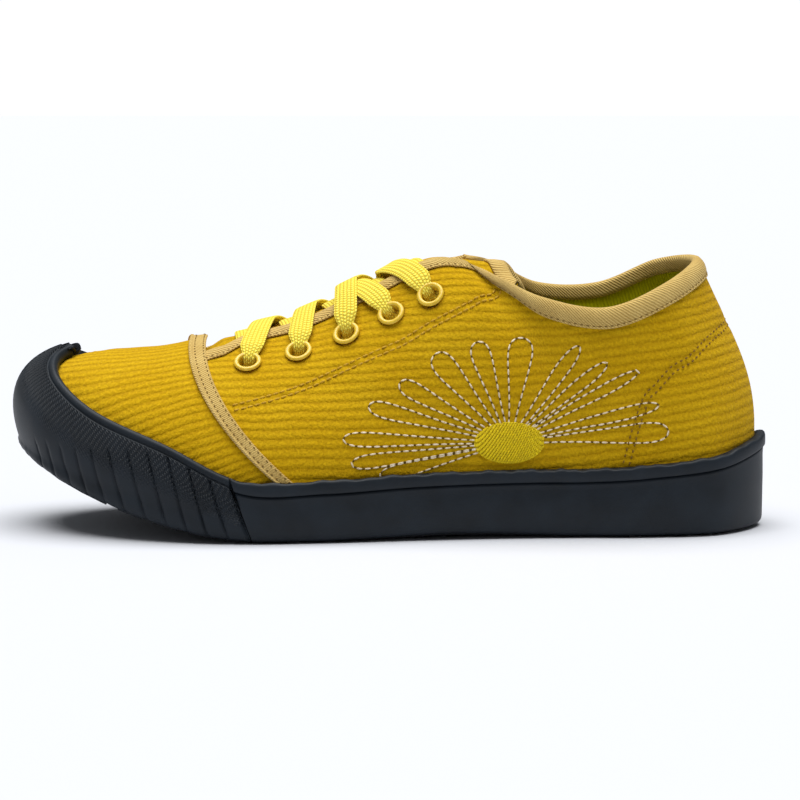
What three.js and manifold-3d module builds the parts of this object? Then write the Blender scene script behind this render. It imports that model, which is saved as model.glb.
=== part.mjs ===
// Canvas shoe for the left foot: a corduroy upper on a rubber sole with a ribbed toe guard.
// Millimetres. X runs from the toe (-) to the heel (+), Y from the outer side (-) to the inner side (+),
// and Z up from the floor. Places along the shoe are shares of its length, from the heel.
import * as THREE from 'three';
import { mergeVertices } from 'three/addons/utils/BufferGeometryUtils.js';
import Module from 'manifold-3d';

// Driving dimensions
const LENGTH = 275;         // outsole, heel to toe
const BALL_WIDTH = 100;     // outsole across the ball
const HEIGHT = 100;         // floor to the top of the instep
const CLEARANCE = 0.3;      // between neighbouring pieces
const CURVED_CLEARANCE = 0.45; // where flat facets meet on a tight curve
const RIM_CLEARANCE = 0.7;      // between the toe guard's rim and the cloth that rounds over the toe
const WALL = 2;             // canvas and lining together

// Sole
const RUBBER = 4;           // sidewall
const TOE_RUBBER = 5.5;     // guard at the tip of the toe
const BED_BALL = 11;        // sole under the ball
const BED_HEEL = 18;        // sole under the heel
const BED_TOE = 9;          // sole under the toe
const ARCH_RISE = 1.5;
const TOE_SPRING = 28;
const FLAT_HEEL = 0.22;     // the heel's flat ends here
const FLAT_BALL = 0.60;     // the forefoot's flat starts here
const SPRING_START = 0.66;  // and the toe spring here
const CORNER = 3;           // rounded lower edge of the sidewall
const EDGE_LIFT = 0.6;      // sidewall above the tread
const LIP_HEIGHT = 4.5;     // band along the top of the sidewall
const LIP_STEP = 0.7;
const GROOVE_DEPTH = 1.2;   // across the tread
const GROOVE_WIDTH = 4;
const GROOVE_PITCH = 13;
const INSOLE = 3;

// Toe guard
const RIM_BAND = 3.5;       // smooth band along the guard's top edge
const RIM_STEP = 0.8;       // set back from the ribbed part
const RIB_PITCH = 7.4;      // slanted ribs of the guard's side
const RIB_DEPTH = 0.7;
const RIB_SLANT = 7.5;      // a rib's foot lies this much further back than its head
const RIB_COUNT = 12;       // ribs on each side
const RIB_TOP = 34;         // the ribs end at this height
const RIB_FADE = 5;

// Trim
const TAPE_WIDTH = 6;
const TAPE = 0.8;           // thickness of tape and binding
const PIPING = 0.8;         // how far the tape's front cord stands above it
const BINDING_LEG = 6.5;
const EYELET_OUTER = 10;
const EYELET_HOLE = 5;
const EYELET_BARREL = 0.5;
const EYELET_FLANGE = 1;
const LACE_WIDTH = 9;
const LACE = 1.2;
const LACE_LIFT = 0.7;      // lace above the eyelet's flange
const TONGUE = 2.5;
const TONGUE_HALF = 27;     // half the tongue's width
const TONGUE_SINK = 1.2;    // below the instep's line, in the middle
const TONGUE_BEYOND = 24;   // how far it reaches past the facings
const TONGUE_FALL = 0.1;    // and falls for each millimetre

// Sections round the shoe, from the tip of the toe to the back of the heel. Each names the outline of
// the sole on both sides (share of the length, share of the ball's width), the height of the rubber's
// top edge, and the top of the upper (share of the length, of the ball's width and of the height).
// lean tilts the wall's foot outwards and roll the wall's top inwards, in degrees; low and high are
// the lengths of the two handles of the wall's curve.
const SECTION_COLUMNS = ['name', 'outerAlong', 'outerAcross', 'innerAlong', 'innerAcross', 'outerRim', 'innerRim',
  'topAlong', 'outerTopAcross', 'innerTopAcross', 'outerTop', 'innerTop', 'lean', 'roll', 'low', 'high'];
const SECTIONS = [
  ['toe tip', 1.000, 0.070, 1.000, 0.070, 0.618, 0.618, 0.880, 0.100, 0.100, 0.638, 0.638, 17, 86, 0.72, 0.76],
  ['toe front', 0.965, -0.190, 0.975, 0.270, 0.560, 0.600, 0.864, 0.096, 0.096, 0.642, 0.642, 15, 88, 0.70, 0.72],
  ['toe corner', 0.890, -0.350, 0.905, 0.415, 0.447, 0.540, 0.828, 0.084, 0.084, 0.650, 0.650, 13, 90, 0.66, 0.62],
  ['toe back', 0.790, -0.455, 0.815, 0.480, 0.345, 0.400, 0.775, 0.070, 0.070, 0.675, 0.675, 10, 90, 0.60, 0.55],
  ['ball', 0.690, -0.494, 0.715, 0.494, 0.225, 0.240, 0.705, 0.058, 0.058, 0.705, 0.705, 8, 88, 0.58, 0.46],
  ['ball back', 0.580, -0.465, 0.600, 0.460, 0.223, 0.230, 0.620, 0.052, 0.052, 0.768, 0.768, 8, 85, 0.56, 0.40],
  ['waist front', 0.470, -0.412, 0.485, 0.380, 0.240, 0.245, 0.525, 0.046, 0.046, 0.892, 0.892, 6, 86, 0.60, 0.48],
  ['waist', 0.380, -0.375, 0.385, 0.325, 0.247, 0.250, 0.438, 0.036, 0.036, 0.996, 0.996, 5, 88, 0.66, 0.64],
  ['collar front', 0.310, -0.355, 0.310, 0.320, 0.250, 0.252, 0.362, -0.190, 0.205, 0.925, 0.950, 5, 44, 0.54, 0.42],
  ['collar side', 0.240, -0.345, 0.240, 0.330, 0.250, 0.252, 0.298, -0.265, 0.268, 0.842, 0.860, 5, 14, 0.42, 0.36],
  ['collar low', 0.160, -0.340, 0.160, 0.335, 0.262, 0.262, 0.215, -0.285, 0.285, 0.808, 0.858, 5, 10, 0.40, 0.38],
  ['heel corner', 0.060, -0.270, 0.060, 0.270, 0.292, 0.292, 0.136, -0.220, 0.220, 0.892, 0.950, 5, 18, 0.42, 0.44],
  ['heel back', 0.000, 0.000, 0.000, 0.000, 0.345, 0.345, 0.088, 0.000, 0.000, 0.974, 0.974, 6, 24, 0.48, 0.47],
];

// The throat: half its width at places along the top, as shares of the length and of the ball's width
const THROAT_COLUMNS = ['along', 'half'];
const THROAT = [
  [0.742, 0.190],
  [0.720, 0.165],
  [0.700, 0.115],
  [0.680, 0.090],
  [0.600, 0.085],
  [0.500, 0.085],
  [0.420, 0.100],
];

// Places in the section loop, where 0 is the toe's tip and each section is one step on
const HEEL = SECTIONS.length - 1;
const AROUND = 2 * HEEL;
const SPLITS = [3, 3, 3, 2, 2, 2, 2, 6, 2, 2, 3, 3]; // facets from each section to the next
const UPPER_LEVELS = 7;     // facets from the upper's lower edge to its binding
const TAPE_TOP = 3.33;      // the vamp tape's middle on the instep's line
const TAPE_SWEEP = 1.615;   // how far it runs back on its way down
const TAPE_CURVE = 2.75;
const THROAT_CLOSED = 3.42; // last place where the vamp is whole, under the tape
const THROAT_OPEN = 3.47;
const LAST_RIDGE = 7;
const SECTION_STEP = 0.1 * LENGTH; // about this far from one section to the next
const GUARD_END = 3.86;     // head of the guard's slanted end
const BINDING_START = 3.62; // behind the tape
const TONGUE_START = 2.9;   // sewn in under the vamp
const EYELETS = [4.14, 4.83, 5.44, 6.00, 6.53];
const EYELET_SET = 18;      // eyelet's middle to the facing's edge

const wasm = await Module();
wasm.setup();
const { lerp, clamp, smoothstep, degToRad } = THREE.MathUtils;

/** Turns a table's rows into objects with named columns. */
const table = (columns, rows) => rows.map((row) => Object.fromEntries(columns.map((name, i) => [name, row[i]])));

/** The sections as one closed loop: outer side from toe to heel, then the inner side back. */
const LOOP = (() => {
  const rows = table(SECTION_COLUMNS, SECTIONS);
  const side = (row, which) => ({
    along: row[`${which}Along`],
    across: row[`${which}Across`],
    rim: row[`${which}Rim`],
    topAcross: row[`${which}TopAcross`],
    top: row[`${which}Top`],
    topAlong: row.topAlong,
    lean: row.lean,
    roll: row.roll,
    low: row.low,
    high: row.high,
  });
  const outer = rows.map((row) => side(row, 'outer'));
  const inner = rows.slice(1, -1).reverse().map((row) => side(row, 'inner'));
  return [...outer, ...inner];
})();

/** A column's value at a place in the loop, on a smooth curve through the sections. */
function at(name, u) {
  const place = THREE.MathUtils.euclideanModulo(u, AROUND);
  const i = Math.floor(place);
  const f = place - i;
  const value = (k) => LOOP[(i + k + AROUND) % AROUND][name];
  const [a, b, c, d] = [value(-1), value(0), value(1), value(2)];
  return 0.5 * (2 * b + (c - a) * f + (2 * a - 5 * b + 4 * c - d) * f ** 2 + (3 * b - a - 3 * c + d) * f ** 3);
}

const xOf = (along) => LENGTH / 2 - along * LENGTH;
const alongOf = (x) => 0.5 - x / LENGTH;

/** Place on the outsole's outline, moved inwards, with the outline's outward direction. */
function outline(u, inset = 0) {
  const step = 1e-3;
  const point = (v) => new THREE.Vector2(xOf(at('along', v)), at('across', v) * BALL_WIDTH);
  const way = point(u + step).sub(point(u - step)).normalize();
  const out = new THREE.Vector2(way.y, -way.x);
  return { point: point(u).addScaledVector(out, -inset), out };
}

/** Height of the tread: flat heel, low arch, flat forefoot and toe spring. */
function ground(along) {
  const arch = clamp((along - FLAT_HEEL) / (FLAT_BALL - FLAT_HEEL), 0, 1);
  const spring = Math.max((along - SPRING_START) / (1 - SPRING_START), 0);
  return ARCH_RISE * Math.sin(Math.PI * arch) ** 2 + TOE_SPRING * spring ** 1.75;
}

/** Height of the footbed, where the upper's lower edge stands. */
function footbed(along) {
  const heel = 1 - smoothstep(along, 0.15, 0.6);
  const toe = smoothstep(along, 0.7, 1);
  return ground(along) + BED_BALL + (BED_HEEL - BED_BALL) * heel + (BED_TOE - BED_BALL) * toe;
}

/** Thickness of the rubber round the upper. */
const rubber = (u) => lerp(RUBBER, TOE_RUBBER, smoothstep(at('along', u), 0.78, 0.96));

/** Rise of the instep's line for each millimetre towards the heel, where the upper closes over the foot. */
function ridgeSlope(u) {
  const step = 0.05;
  const run = xOf(at('topAlong', u + step)) - xOf(at('topAlong', u - step));
  const rise = (at('top', u + step) - at('top', u - step)) * HEIGHT;
  const slope = Math.abs(run) > 0.05 ? rise / run : 0.05;
  return clamp(slope, 0, 0.6) * clamp((at('roll', u) - 40) / 40, 0, 1);
}

/** The four points of the curve that the upper follows from its lower edge to its top. */
function ribPoints(u) {
  const { point, out } = outline(u, rubber(u));
  const foot = new THREE.Vector3(point.x, point.y, footbed(alongOf(point.x)));
  const top = new THREE.Vector3(xOf(at('topAlong', u)), at('topAcross', u) * BALL_WIDTH, at('top', u) * HEIGHT);
  const lean = degToRad(at('lean', u));
  const roll = degToRad(at('roll', u));
  const rise = Math.max(top.z - foot.z, 1);
  const away = new THREE.Vector2(foot.x - top.x, foot.y - top.y);
  const reach = away.length();
  away.normalize();
  const first = new THREE.Vector3(out.x * Math.sin(lean), out.y * Math.sin(lean), Math.cos(lean));
  const second = new THREE.Vector3(away.x, away.y, away.x * ridgeSlope(u)).multiplyScalar(Math.sin(roll));
  second.z -= Math.cos(roll);
  const lower = foot.clone().addScaledVector(first, at('low', u) * rise);
  const upper = top.clone().addScaledVector(second, at('high', u) * (Math.sin(roll) * reach + Math.cos(roll) * rise));
  return [foot, lower, upper, top];
}

/** A point of the upper's outside: u round the shoe, t from the lower edge (0) to the top (1). */
const rib = (u, t) => new THREE.CubicBezierCurve3(...ribPoints(u)).getPoint(t);

/** The outside's normal, taken a little below the instep's line, where the surface is never pinched. */
function sideNormal(u, t) {
  const step = 0.01;
  const place = Math.min(t, 0.97);
  const round = rib(u + 2 * step, place).sub(rib(u - 2 * step, place));
  const up = rib(u, Math.min(place + step, 1)).sub(rib(u, Math.max(place - step, 0)));
  return round.cross(up).normalize();
}

/** The outside's normal, with both sides of the shoe joined smoothly on the instep's line. */
function normal(u, t) {
  const own = sideNormal(u, t);
  const joined = rib(u, 1).distanceTo(rib(AROUND - u, 1)) < 0.01;
  const share = joined ? clamp((t - 0.94) / 0.06, 0, 1) / 2 : 0;
  return own.lerp(sideNormal(AROUND - u, t), share).normalize();
}

/** A point of the upper, moved outwards (or inwards, below 0); both sides share one point on the instep's line. */
function skin(u, t, offset) {
  const place = t === 1 && throatHalf(u) === 0 ? Math.min(u, AROUND - u) : u;
  return rib(place, t).addScaledVector(normal(place, t), offset);
}

/** Halves a range until the test changes, and returns that value. */
function solve(low, high, isLow) {
  for (let i = 0; i < 40; i++) {
    const middle = (low + high) / 2;
    if (isLow(middle)) low = middle;
    else high = middle;
  }
  return (low + high) / 2;
}

/** Share of a rib at which it reaches a height. */
const shareAtHeight = (u, height) => solve(0, 1, (t) => rib(u, t).z < height);

/** Share of a rib at the rubber's top edge. */
const rimShare = (u) => shareAtHeight(u, at('rim', u) * HEIGHT);

/** Share of a rib that lies a length below another share. */
function shareBelow(u, from, length) {
  const start = rib(u, from);
  return solve(0, from, (t) => rib(u, t).distanceTo(start) > length);
}

/** Half the throat's width where a rib meets the top. */
function throatHalf(u) {
  const lateral = Math.min(u, AROUND - u);
  if (lateral < THROAT_CLOSED + 1e-6) return 0;
  const rows = table(THROAT_COLUMNS, THROAT);
  const along = at('topAlong', u);
  const next = rows.findIndex((row) => row.along < along);
  if (next === 0) return rows[0].half * BALL_WIDTH;
  if (next < 0) return rows.at(-1).half * BALL_WIDTH;
  const [a, b] = [rows[next - 1], rows[next]];
  return lerp(a.half, b.half, (a.along - along) / (a.along - b.along)) * BALL_WIDTH;
}

/** Share of each rib that the upper keeps: all of it, or up to the throat. */
function edgeShare(u) {
  const half = throatHalf(u);
  if (half === 0 || Math.min(u, AROUND - u) > LAST_RIDGE + 1) return 1;
  const middle = (at('topAcross', u) + at('topAcross', AROUND - u)) / 2 * BALL_WIDTH;
  return solve(0.4, 1, (t) => Math.abs(rib(u, t).y - middle) > half);
}

/** Numbers from first to last in equal steps, both ends included. */
const steps = (first, last, count) => Array.from({ length: count + 1 }, (_, i) => lerp(first, last, i / count));

/** Places round the shoe that all surfaces share, so that their facets lie side by side. */
const ROUND = (() => {
  const between = SPLITS.flatMap((count, i) => steps(i, i + 1, count).slice(0, -1));
  const outer = [...between, HEEL, THROAT_CLOSED, THROAT_OPEN, BINDING_START].sort((a, b) => a - b);
  return [...outer, ...outer.slice(1, -1).reverse().map((u) => AROUND - u)];
})();

/** A mesh's geometry from its points and triangles, turned so that it faces outwards. */
function solid(points, triangles) {
  const volume = triangles.reduce((sum, [a, b, c]) => sum + points[a].dot(points[b].clone().cross(points[c])), 0);
  const faces = volume < 0 ? triangles.map(([a, b, c]) => [a, c, b]) : triangles;
  const geometry = new THREE.BufferGeometry();
  geometry.setAttribute('position', new THREE.Float32BufferAttribute(points.flatMap((p) => p.toArray()), 3));
  geometry.setIndex(faces.flat());
  const merged = mergeVertices(geometry, 1e-4);
  const index = merged.getIndex().array;
  const kept = [];
  for (let i = 0; i < index.length; i += 3) {
    const [a, b, c] = index.slice(i, i + 3);
    if (a !== b && b !== c && c !== a) kept.push(a, b, c);
  }
  merged.setIndex(kept);
  return merged;
}

/**
 * A wall between two grids of points of the same size. Rows may close on themselves, and the row ends
 * are walled off except where skipTop says that two stretches of the last column meet.
 */
function wallBetween(outer, inner, { closed = false, skipTop = () => false } = {}) {
  const rows = outer.length;
  const columns = outer[0].length;
  const points = [...outer.flat(), ...inner.flat()];
  const out = (i, j) => (i % rows) * columns + j;
  const back = (i, j) => rows * columns + out(i, j);
  const triangles = [];
  const quad = (a, b, c, d) => triangles.push([a, b, c], [a, c, d]);
  const last = closed ? rows : rows - 1;
  for (let i = 0; i < last; i++) {
    for (let j = 0; j < columns - 1; j++) {
      quad(out(i, j), out(i + 1, j), out(i + 1, j + 1), out(i, j + 1));
      quad(back(i, j), back(i, j + 1), back(i + 1, j + 1), back(i + 1, j));
    }
    quad(out(i, 0), back(i, 0), back(i + 1, 0), out(i + 1, 0));
    const end = columns - 1;
    if (!skipTop(i)) quad(out(i, end), out(i + 1, end), back(i + 1, end), back(i, end));
  }
  if (!closed) {
    for (let j = 0; j < columns - 1; j++) {
      quad(out(0, j), out(0, j + 1), back(0, j + 1), back(0, j));
      quad(out(rows - 1, j), back(rows - 1, j), back(rows - 1, j + 1), out(rows - 1, j + 1));
    }
  }
  return solid(points, triangles);
}

/** A geometry as a solid that can be joined and cut. */
function toManifold(geometry) {
  const { position } = geometry.attributes;
  return new wasm.Manifold(new wasm.Mesh({
    numProp: 3,
    vertProperties: Float32Array.from(position.array),
    triVerts: Uint32Array.from(geometry.getIndex().array),
  }));
}

/** A joined or cut solid as a geometry. */
function fromManifold(manifold) {
  const { vertProperties, triVerts } = manifold.getMesh();
  const geometry = new THREE.BufferGeometry();
  geometry.setAttribute('position', new THREE.Float32BufferAttribute(vertProperties, 3));
  geometry.setIndex([...triVerts]);
  return geometry;
}

/** A lathed ring in place: its axis stands on the upper at a place, along the upper's normal. */
function standOn(u, t, profile, sides) {
  const geometry = new THREE.LatheGeometry(profile, sides);
  geometry.deleteAttribute('normal');
  geometry.deleteAttribute('uv');
  const turn = new THREE.Quaternion().setFromUnitVectors(new THREE.Vector3(0, 1, 0), normal(u, t));
  const place = rib(u, t);
  geometry.applyQuaternion(turn).translate(place.x, place.y, place.z);
  const merged = mergeVertices(geometry, 1e-4);
  const points = Array.from({ length: merged.attributes.position.count }, (_, i) =>
    new THREE.Vector3().fromBufferAttribute(merged.attributes.position, i));
  const index = merged.getIndex().array;
  const triangles = [];
  for (let i = 0; i < index.length; i += 3) triangles.push([...index.slice(i, i + 3)]);
  return solid(points, triangles);
}

/** An eyelet's place on its rib. */
const eyeletShare = (u) => shareBelow(u, edgeShare(u), EYELET_SET);

/** The upper: one wall, closed over the toe, open at the throat, the collar and underneath. */
function makeUpper() {
  const shares = (u) => {
    const edge = edgeShare(u);
    return [...steps(0, shareBelow(u, edge, BINDING_LEG), UPPER_LEVELS), edge];
  };
  const grid = (offset) => ROUND.map((u) => shares(u).map((t) => skin(u, t, offset)));
  const whole = (i) => [ROUND[i], ROUND[(i + 1) % ROUND.length]].every((u) => throatHalf(u) === 0);
  let wall = toManifold(wallBetween(grid(0), grid(-WALL), { closed: true, skipTop: whole }));
  const radius = EYELET_HOLE / 2 + EYELET_BARREL + CLEARANCE;
  const reach = 2 * WALL;
  const profile = [[0, -reach], [radius, -reach], [radius, reach], [0, reach]].map(([r, h]) => new THREE.Vector2(r, h));
  for (const u of EYELETS.flatMap((place) => [place, AROUND - place])) {
    wall = wall.subtract(toManifold(standOn(u, eyeletShare(u), profile, 10)));
  }
  return fromManifold(wall);
}

/** A point on the sole's side: moved in from the outline at a place, at its own height. */
function level(u, inset, height) {
  const { point, out } = outline(u, inset);
  return new THREE.Vector3(point.x, point.y, height);
}

/** Height of the sidewall's lower edge at a place. */
const sideFoot = (u) => ground(alongOf(outline(u).point.x)) + EDGE_LIFT;

/** Height at which the sidewall's inside reaches the upper's lower edge. */
const sideBed = (u) => footbed(alongOf(outline(u).point.x));

/** Height of the rubber's top edge at a place. */
const rimHeight = (u) => at('rim', u) * HEIGHT;

/** Place round the shoe of a point on a slanted line, from its height and the line's two ends. */
function onSlant(head, foot, height) {
  const low = sideFoot(head);
  return lerp(foot, head, clamp((height - low) / (rimHeight(head) - low), 0, 1));
}

/** The rounded lower edge of the sidewall: a point on its outside and one on its inside. */
function cornerPoints(head, foot, step) {
  const rise = [0, 0.35, 1][step] * CORNER;
  const u = onSlant(head, foot, sideFoot(head) + rise);
  const inset = [0.7, 0.2, 0][step] * CORNER;
  const height = sideFoot(u) + rise;
  return [level(u, inset, height), level(u, rubber(u) - CLEARANCE, Math.min(height, sideBed(u) - CLEARANCE))];
}

/** Place along the shoe of a slanted line's foot, for the place of its head. */
function slantedFoot(head) {
  const side = Math.sign(head);
  return head + side * smoothstep(Math.abs(head), 0, 0.8) * RIB_SLANT / SECTION_STEP;
}

/** The sidewall's section: pairs of points on its outside and inside, from the foot to the rim. */
function sidewallSection(head, foot = head) {
  const pairs = [0, 1, 2].map((step) => cornerPoints(head, foot, step));
  const lipShare = (u) => shareAtHeight(u, rimHeight(u) - LIP_HEIGHT);
  const bed = onSlant(head, foot, rib(head, 0).z);
  const middle = onSlant(head, foot, rib(head, lipShare(head) / 2).z);
  const lip = onSlant(head, foot, rimHeight(head) - LIP_HEIGHT);
  const under = rubber(lip) - LIP_STEP;
  pairs.push([skin(middle, lipShare(middle) / 2, rubber(middle) - LIP_STEP / 2), skin(bed, 0, CLEARANCE)]);
  pairs.push([skin(lip, lipShare(lip), under), skin(lip, lipShare(lip), CLEARANCE)]);
  pairs.push([skin(lip, lipShare(lip) + 0.004, rubber(lip)), skin(lip, lipShare(lip) + 0.004, CLEARANCE)]);
  pairs.push([skin(head, rimShare(head), rubber(head) - LIP_STEP / 2), skin(head, rimShare(head), CLEARANCE)]);
  return pairs;
}

/** A wall from sections that are lists of pairs. */
const wallOf = (sections) => wallBetween(
  sections.map((pairs) => pairs.map(([outside]) => outside)),
  sections.map((pairs) => pairs.map(([, inside]) => inside)),
);

/** The sidewall: a band round the sole from one end of the toe guard to the other. */
function makeSidewall() {
  const head = GUARD_END + CLEARANCE / SECTION_STEP;
  const foot = slantedFoot(head);
  const middle = ROUND.filter((u) => u > foot + 0.1 && u < AROUND - foot - 0.1).map((u) => sidewallSection(u));
  return wallOf([sidewallSection(head, foot), ...middle, sidewallSection(AROUND - head, AROUND - foot)]);
}

/** The guard's section: rounded foot, ribbed side, and the smooth band along its top edge. */
function guardSection(head, dent) {
  const foot = slantedFoot(head);
  const cut = (point, out) => point.addScaledVector(out, -dent * (1 - smoothstep(point.z, RIB_TOP - RIB_FADE, RIB_TOP)));
  const pairs = [0, 1, 2].map((step) => {
    const [outside, inside] = cornerPoints(head, foot, step);
    const { out } = outline(head);
    return [cut(outside, new THREE.Vector3(out.x, out.y, 0)), inside];
  });
  const bandShare = shareBelow(head, rimShare(head), RIM_BAND);
  for (const share of [0, 0.2, 0.4, 0.6, 0.8, 1]) {
    const t = share * bandShare;
    const u = onSlant(head, foot, rib(head, t).z);
    pairs.push([cut(skin(u, t, rubber(u)), normal(u, t)), skin(u, t, CURVED_CLEARANCE)]);
  }
  const stepShare = shareBelow(head, rimShare(head), RIM_BAND - RIM_STEP);
  const band = onSlant(head, foot, rib(head, stepShare).z);
  pairs.push([skin(band, stepShare, rubber(band) - RIM_STEP), skin(band, stepShare, CURVED_CLEARANCE)]);
  pairs.push([skin(head, rimShare(head), rubber(head) - RIM_STEP), skin(head, rimShare(head), RIM_CLEARANCE)]);
  return pairs;
}

/** The toe guard: a thick strip over the toe with slanted ribs on both sides. */
function makeToeGuard() {
  const pitch = RIB_PITCH / SECTION_STEP;
  const tooth = 0.12 * pitch;
  const first = GUARD_END - RIB_COUNT * pitch;
  const side = [...Array(RIB_COUNT).keys()].flatMap((i) => {
    const start = first + i * pitch;
    return [{ head: start, dent: 0 }, { head: start + pitch - tooth, dent: RIB_DEPTH }];
  });
  side.push({ head: GUARD_END, dent: 0 });
  const tip = steps(0, first, 3).slice(0, -1).map((head) => ({ head, dent: 0 }));
  const outer = [...tip, ...side];
  const inner = outer.slice(1).reverse().map(({ head, dent }) => ({ head: -head, dent }));
  return wallOf([...inner, ...outer].map(({ head, dent }) => guardSection(head, dent)));
}

/** Where the outline, moved inwards, crosses a place along the shoe: outer side and inner side. */
function across(along, inset) {
  const x = xOf(along);
  const places = [
    solve(0, HEEL, (u) => outline(u, inset(u)).point.x < x),
    solve(HEEL, AROUND, (u) => outline(u, inset(u)).point.x > x),
  ];
  return places.map((u) => outline(u, inset(u)).point.y);
}

/** A sheet with the sole's outline, from rows across it: each row gives its place and its two heights. */
function soleSheet(inset, rows) {
  const shares = [0, 0.5, 1];
  const grids = ['top', 'bottom'].map((face) => rows.map((row) => {
    const [outer, inner] = across(row.along, inset);
    return shares.map((share) => new THREE.Vector3(xOf(row.along), lerp(outer, inner, share), row[face]));
  }));
  return wallBetween(...grids);
}

/** Places along the shoe for a sheet's rows, closer together at its round ends. */
function sheetRows(inset, count) {
  const first = inset(HEEL) / LENGTH + 0.001;
  const last = 1 - inset(0) / LENGTH - 0.001;
  return steps(0, 1, count).map((share) => lerp(first, last, (1 - Math.cos(share * Math.PI)) / 2));
}

/** The outsole, with grooves across its heel and forefoot. */
function makeOutsole() {
  const inset = (u) => rubber(u) + CLEARANCE;
  const row = (along, depth) => ({ along, top: footbed(along) - CLEARANCE, bottom: ground(along) + depth });
  const ends = [FLAT_HEEL, FLAT_BALL, SPRING_START];
  const apart = (along) => ends.every((end) => Math.abs(along - end) > GROOVE_WIDTH / LENGTH);
  const spread = sheetRows(inset, 22).filter(apart);
  const rows = [...spread, ...ends].map((along) => row(along, 0));
  const grooved = [[0.06, FLAT_HEEL], [FLAT_BALL, 0.93]];
  const half = GROOVE_WIDTH / 2 / LENGTH;
  const draft = 0.15 * half;
  const centres = grooved.flatMap(([from, to]) => {
    const count = Math.floor((to - from) * LENGTH / GROOVE_PITCH);
    return [...Array(count).keys()].map((i) => from + (i + 0.5) * GROOVE_PITCH / LENGTH);
  });
  const clear = rows.filter(({ along }) => centres.every((centre) => Math.abs(along - centre) > half + 2 * draft));
  const cuts = centres.flatMap((centre) => [
    row(centre - half - draft, 0),
    row(centre - half + draft, GROOVE_DEPTH),
    row(centre + half - draft, GROOVE_DEPTH),
    row(centre + half + draft, 0),
  ]);
  return soleSheet(inset, [...clear, ...cuts].sort((a, b) => a.along - b.along));
}

/** The insole, lying in the upper. */
function makeInsole() {
  const inset = (u) => rubber(u) + WALL + 4 * CLEARANCE;
  return soleSheet(inset, sheetRows(inset, 22).map((along) => ({
    along,
    top: footbed(along) + INSOLE,
    bottom: footbed(along),
  })));
}

/** The vamp tape's middle line: its place in the loop at a share of the rib. */
const tapeLine = (t) => TAPE_TOP + TAPE_SWEEP * (1 - t) ** TAPE_CURVE;

/** The tape across the vamp, from rubber to rubber, with a cord along its front edge. */
function makeTape() {
  const half = TAPE_WIDTH / 2;
  const columns = [
    { shift: -half, height: TAPE },
    { shift: -half + PIPING / 2, height: TAPE + PIPING },
    { shift: -half + 2 * PIPING, height: TAPE },
    { shift: half, height: TAPE },
  ];
  const placeOf = (t, shift) => {
    const u = tapeLine(t);
    return u + shift / (rib(u + 0.01, t).distanceTo(rib(u - 0.01, t)) / 0.02);
  };
  const starts = columns.map(({ shift }) => solve(0, 0.6, (t) => {
    const u = placeOf(t, shift);
    return rib(u, t).z < at('rim', u) * HEIGHT + 2 * CLEARANCE;
  }));
  const side = (mirror) => steps(0, 1, 18).map((s) => columns.map(({ shift, height }, j) => {
    const t = lerp(starts[j], 1, s);
    const u = placeOf(t, shift);
    const own = mirror ? AROUND - u : u;
    const share = mirror ? Math.max(t, lerp(rimShare(own) + 0.01, 1, s)) : t;
    return [CLEARANCE + height, CLEARANCE].map((offset) => skin(own, share, offset));
  }));
  const rows = [...side(false), ...side(true).reverse().slice(1)];
  return wallOf(rows);
}

/** The binding's section: a tape folded over the upper's edge. */
function bindingSection(u) {
  const edge = edgeShare(u);
  const leg = shareBelow(u, edge, BINDING_LEG);
  const along = rib(u, edge).sub(rib(u, edge - 0.01)).normalize();
  return [CURVED_CLEARANCE + TAPE, CURVED_CLEARANCE].map((gap) => [
    skin(u, leg, gap),
    skin(u, edge, gap),
    skin(u, edge, -WALL / 2).addScaledVector(along, gap + CURVED_CLEARANCE),
    skin(u, edge, -WALL - gap - CLEARANCE),
    skin(u, leg, -WALL - gap - CLEARANCE),
  ]);
}

/** The binding along both facings and round the collar. */
function makeBinding() {
  const sections = ROUND.filter((u) => u >= BINDING_START && u <= AROUND - BINDING_START).map(bindingSection);
  const grids = [0, 1].map((face) => sections.map((section) => section[face]));
  return wallBetween(...grids);
}

/** A point of the tongue: u along the instep and past it, side from -1 to 1 across, offset up from it. */
function tonguePoint(u, side, offset) {
  const place = Math.min(u, LAST_RIDGE);
  const lateral = side <= 0 ? place : AROUND - place;
  const middle = at('topAcross', place) * BALL_WIDTH;
  const reach = Math.abs(side) * TONGUE_HALF;
  const t = solve(0.3, 1, (share) => Math.abs(rib(lateral, share).y - middle) > reach);
  const open = side === 0 && place > THROAT_OPEN;
  const sink = open ? TONGUE_SINK : WALL + TAPE + 3 * CURVED_CLEARANCE;
  const point = side === 0 ? skin(place, 1, offset - sink) : skin(lateral, t, offset - sink);
  const beyond = Math.max(u - LAST_RIDGE, 0) * TONGUE_BEYOND;
  return point.add(new THREE.Vector3(beyond, 0, -TONGUE_FALL * beyond));
}

/** How much of the tongue's width is left at a place: all of it, then round towards its end. */
const tongueWidth = (u) => (u <= LAST_RIDGE ? 1 : Math.sqrt(1 - 0.7 * (u - LAST_RIDGE) ** 2));

/** The tongue, from under the vamp to its free end. */
function makeTongue() {
  const places = [...steps(TONGUE_START, LAST_RIDGE, 11), ...steps(LAST_RIDGE, LAST_RIDGE + 1, 3).slice(1)];
  const sides = steps(-1, 1, 8);
  const grid = (offset) => places.map((u) => sides.map((side) => tonguePoint(u, side * tongueWidth(u), offset)));
  return wallBetween(grid(0), grid(-TONGUE));
}

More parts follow.
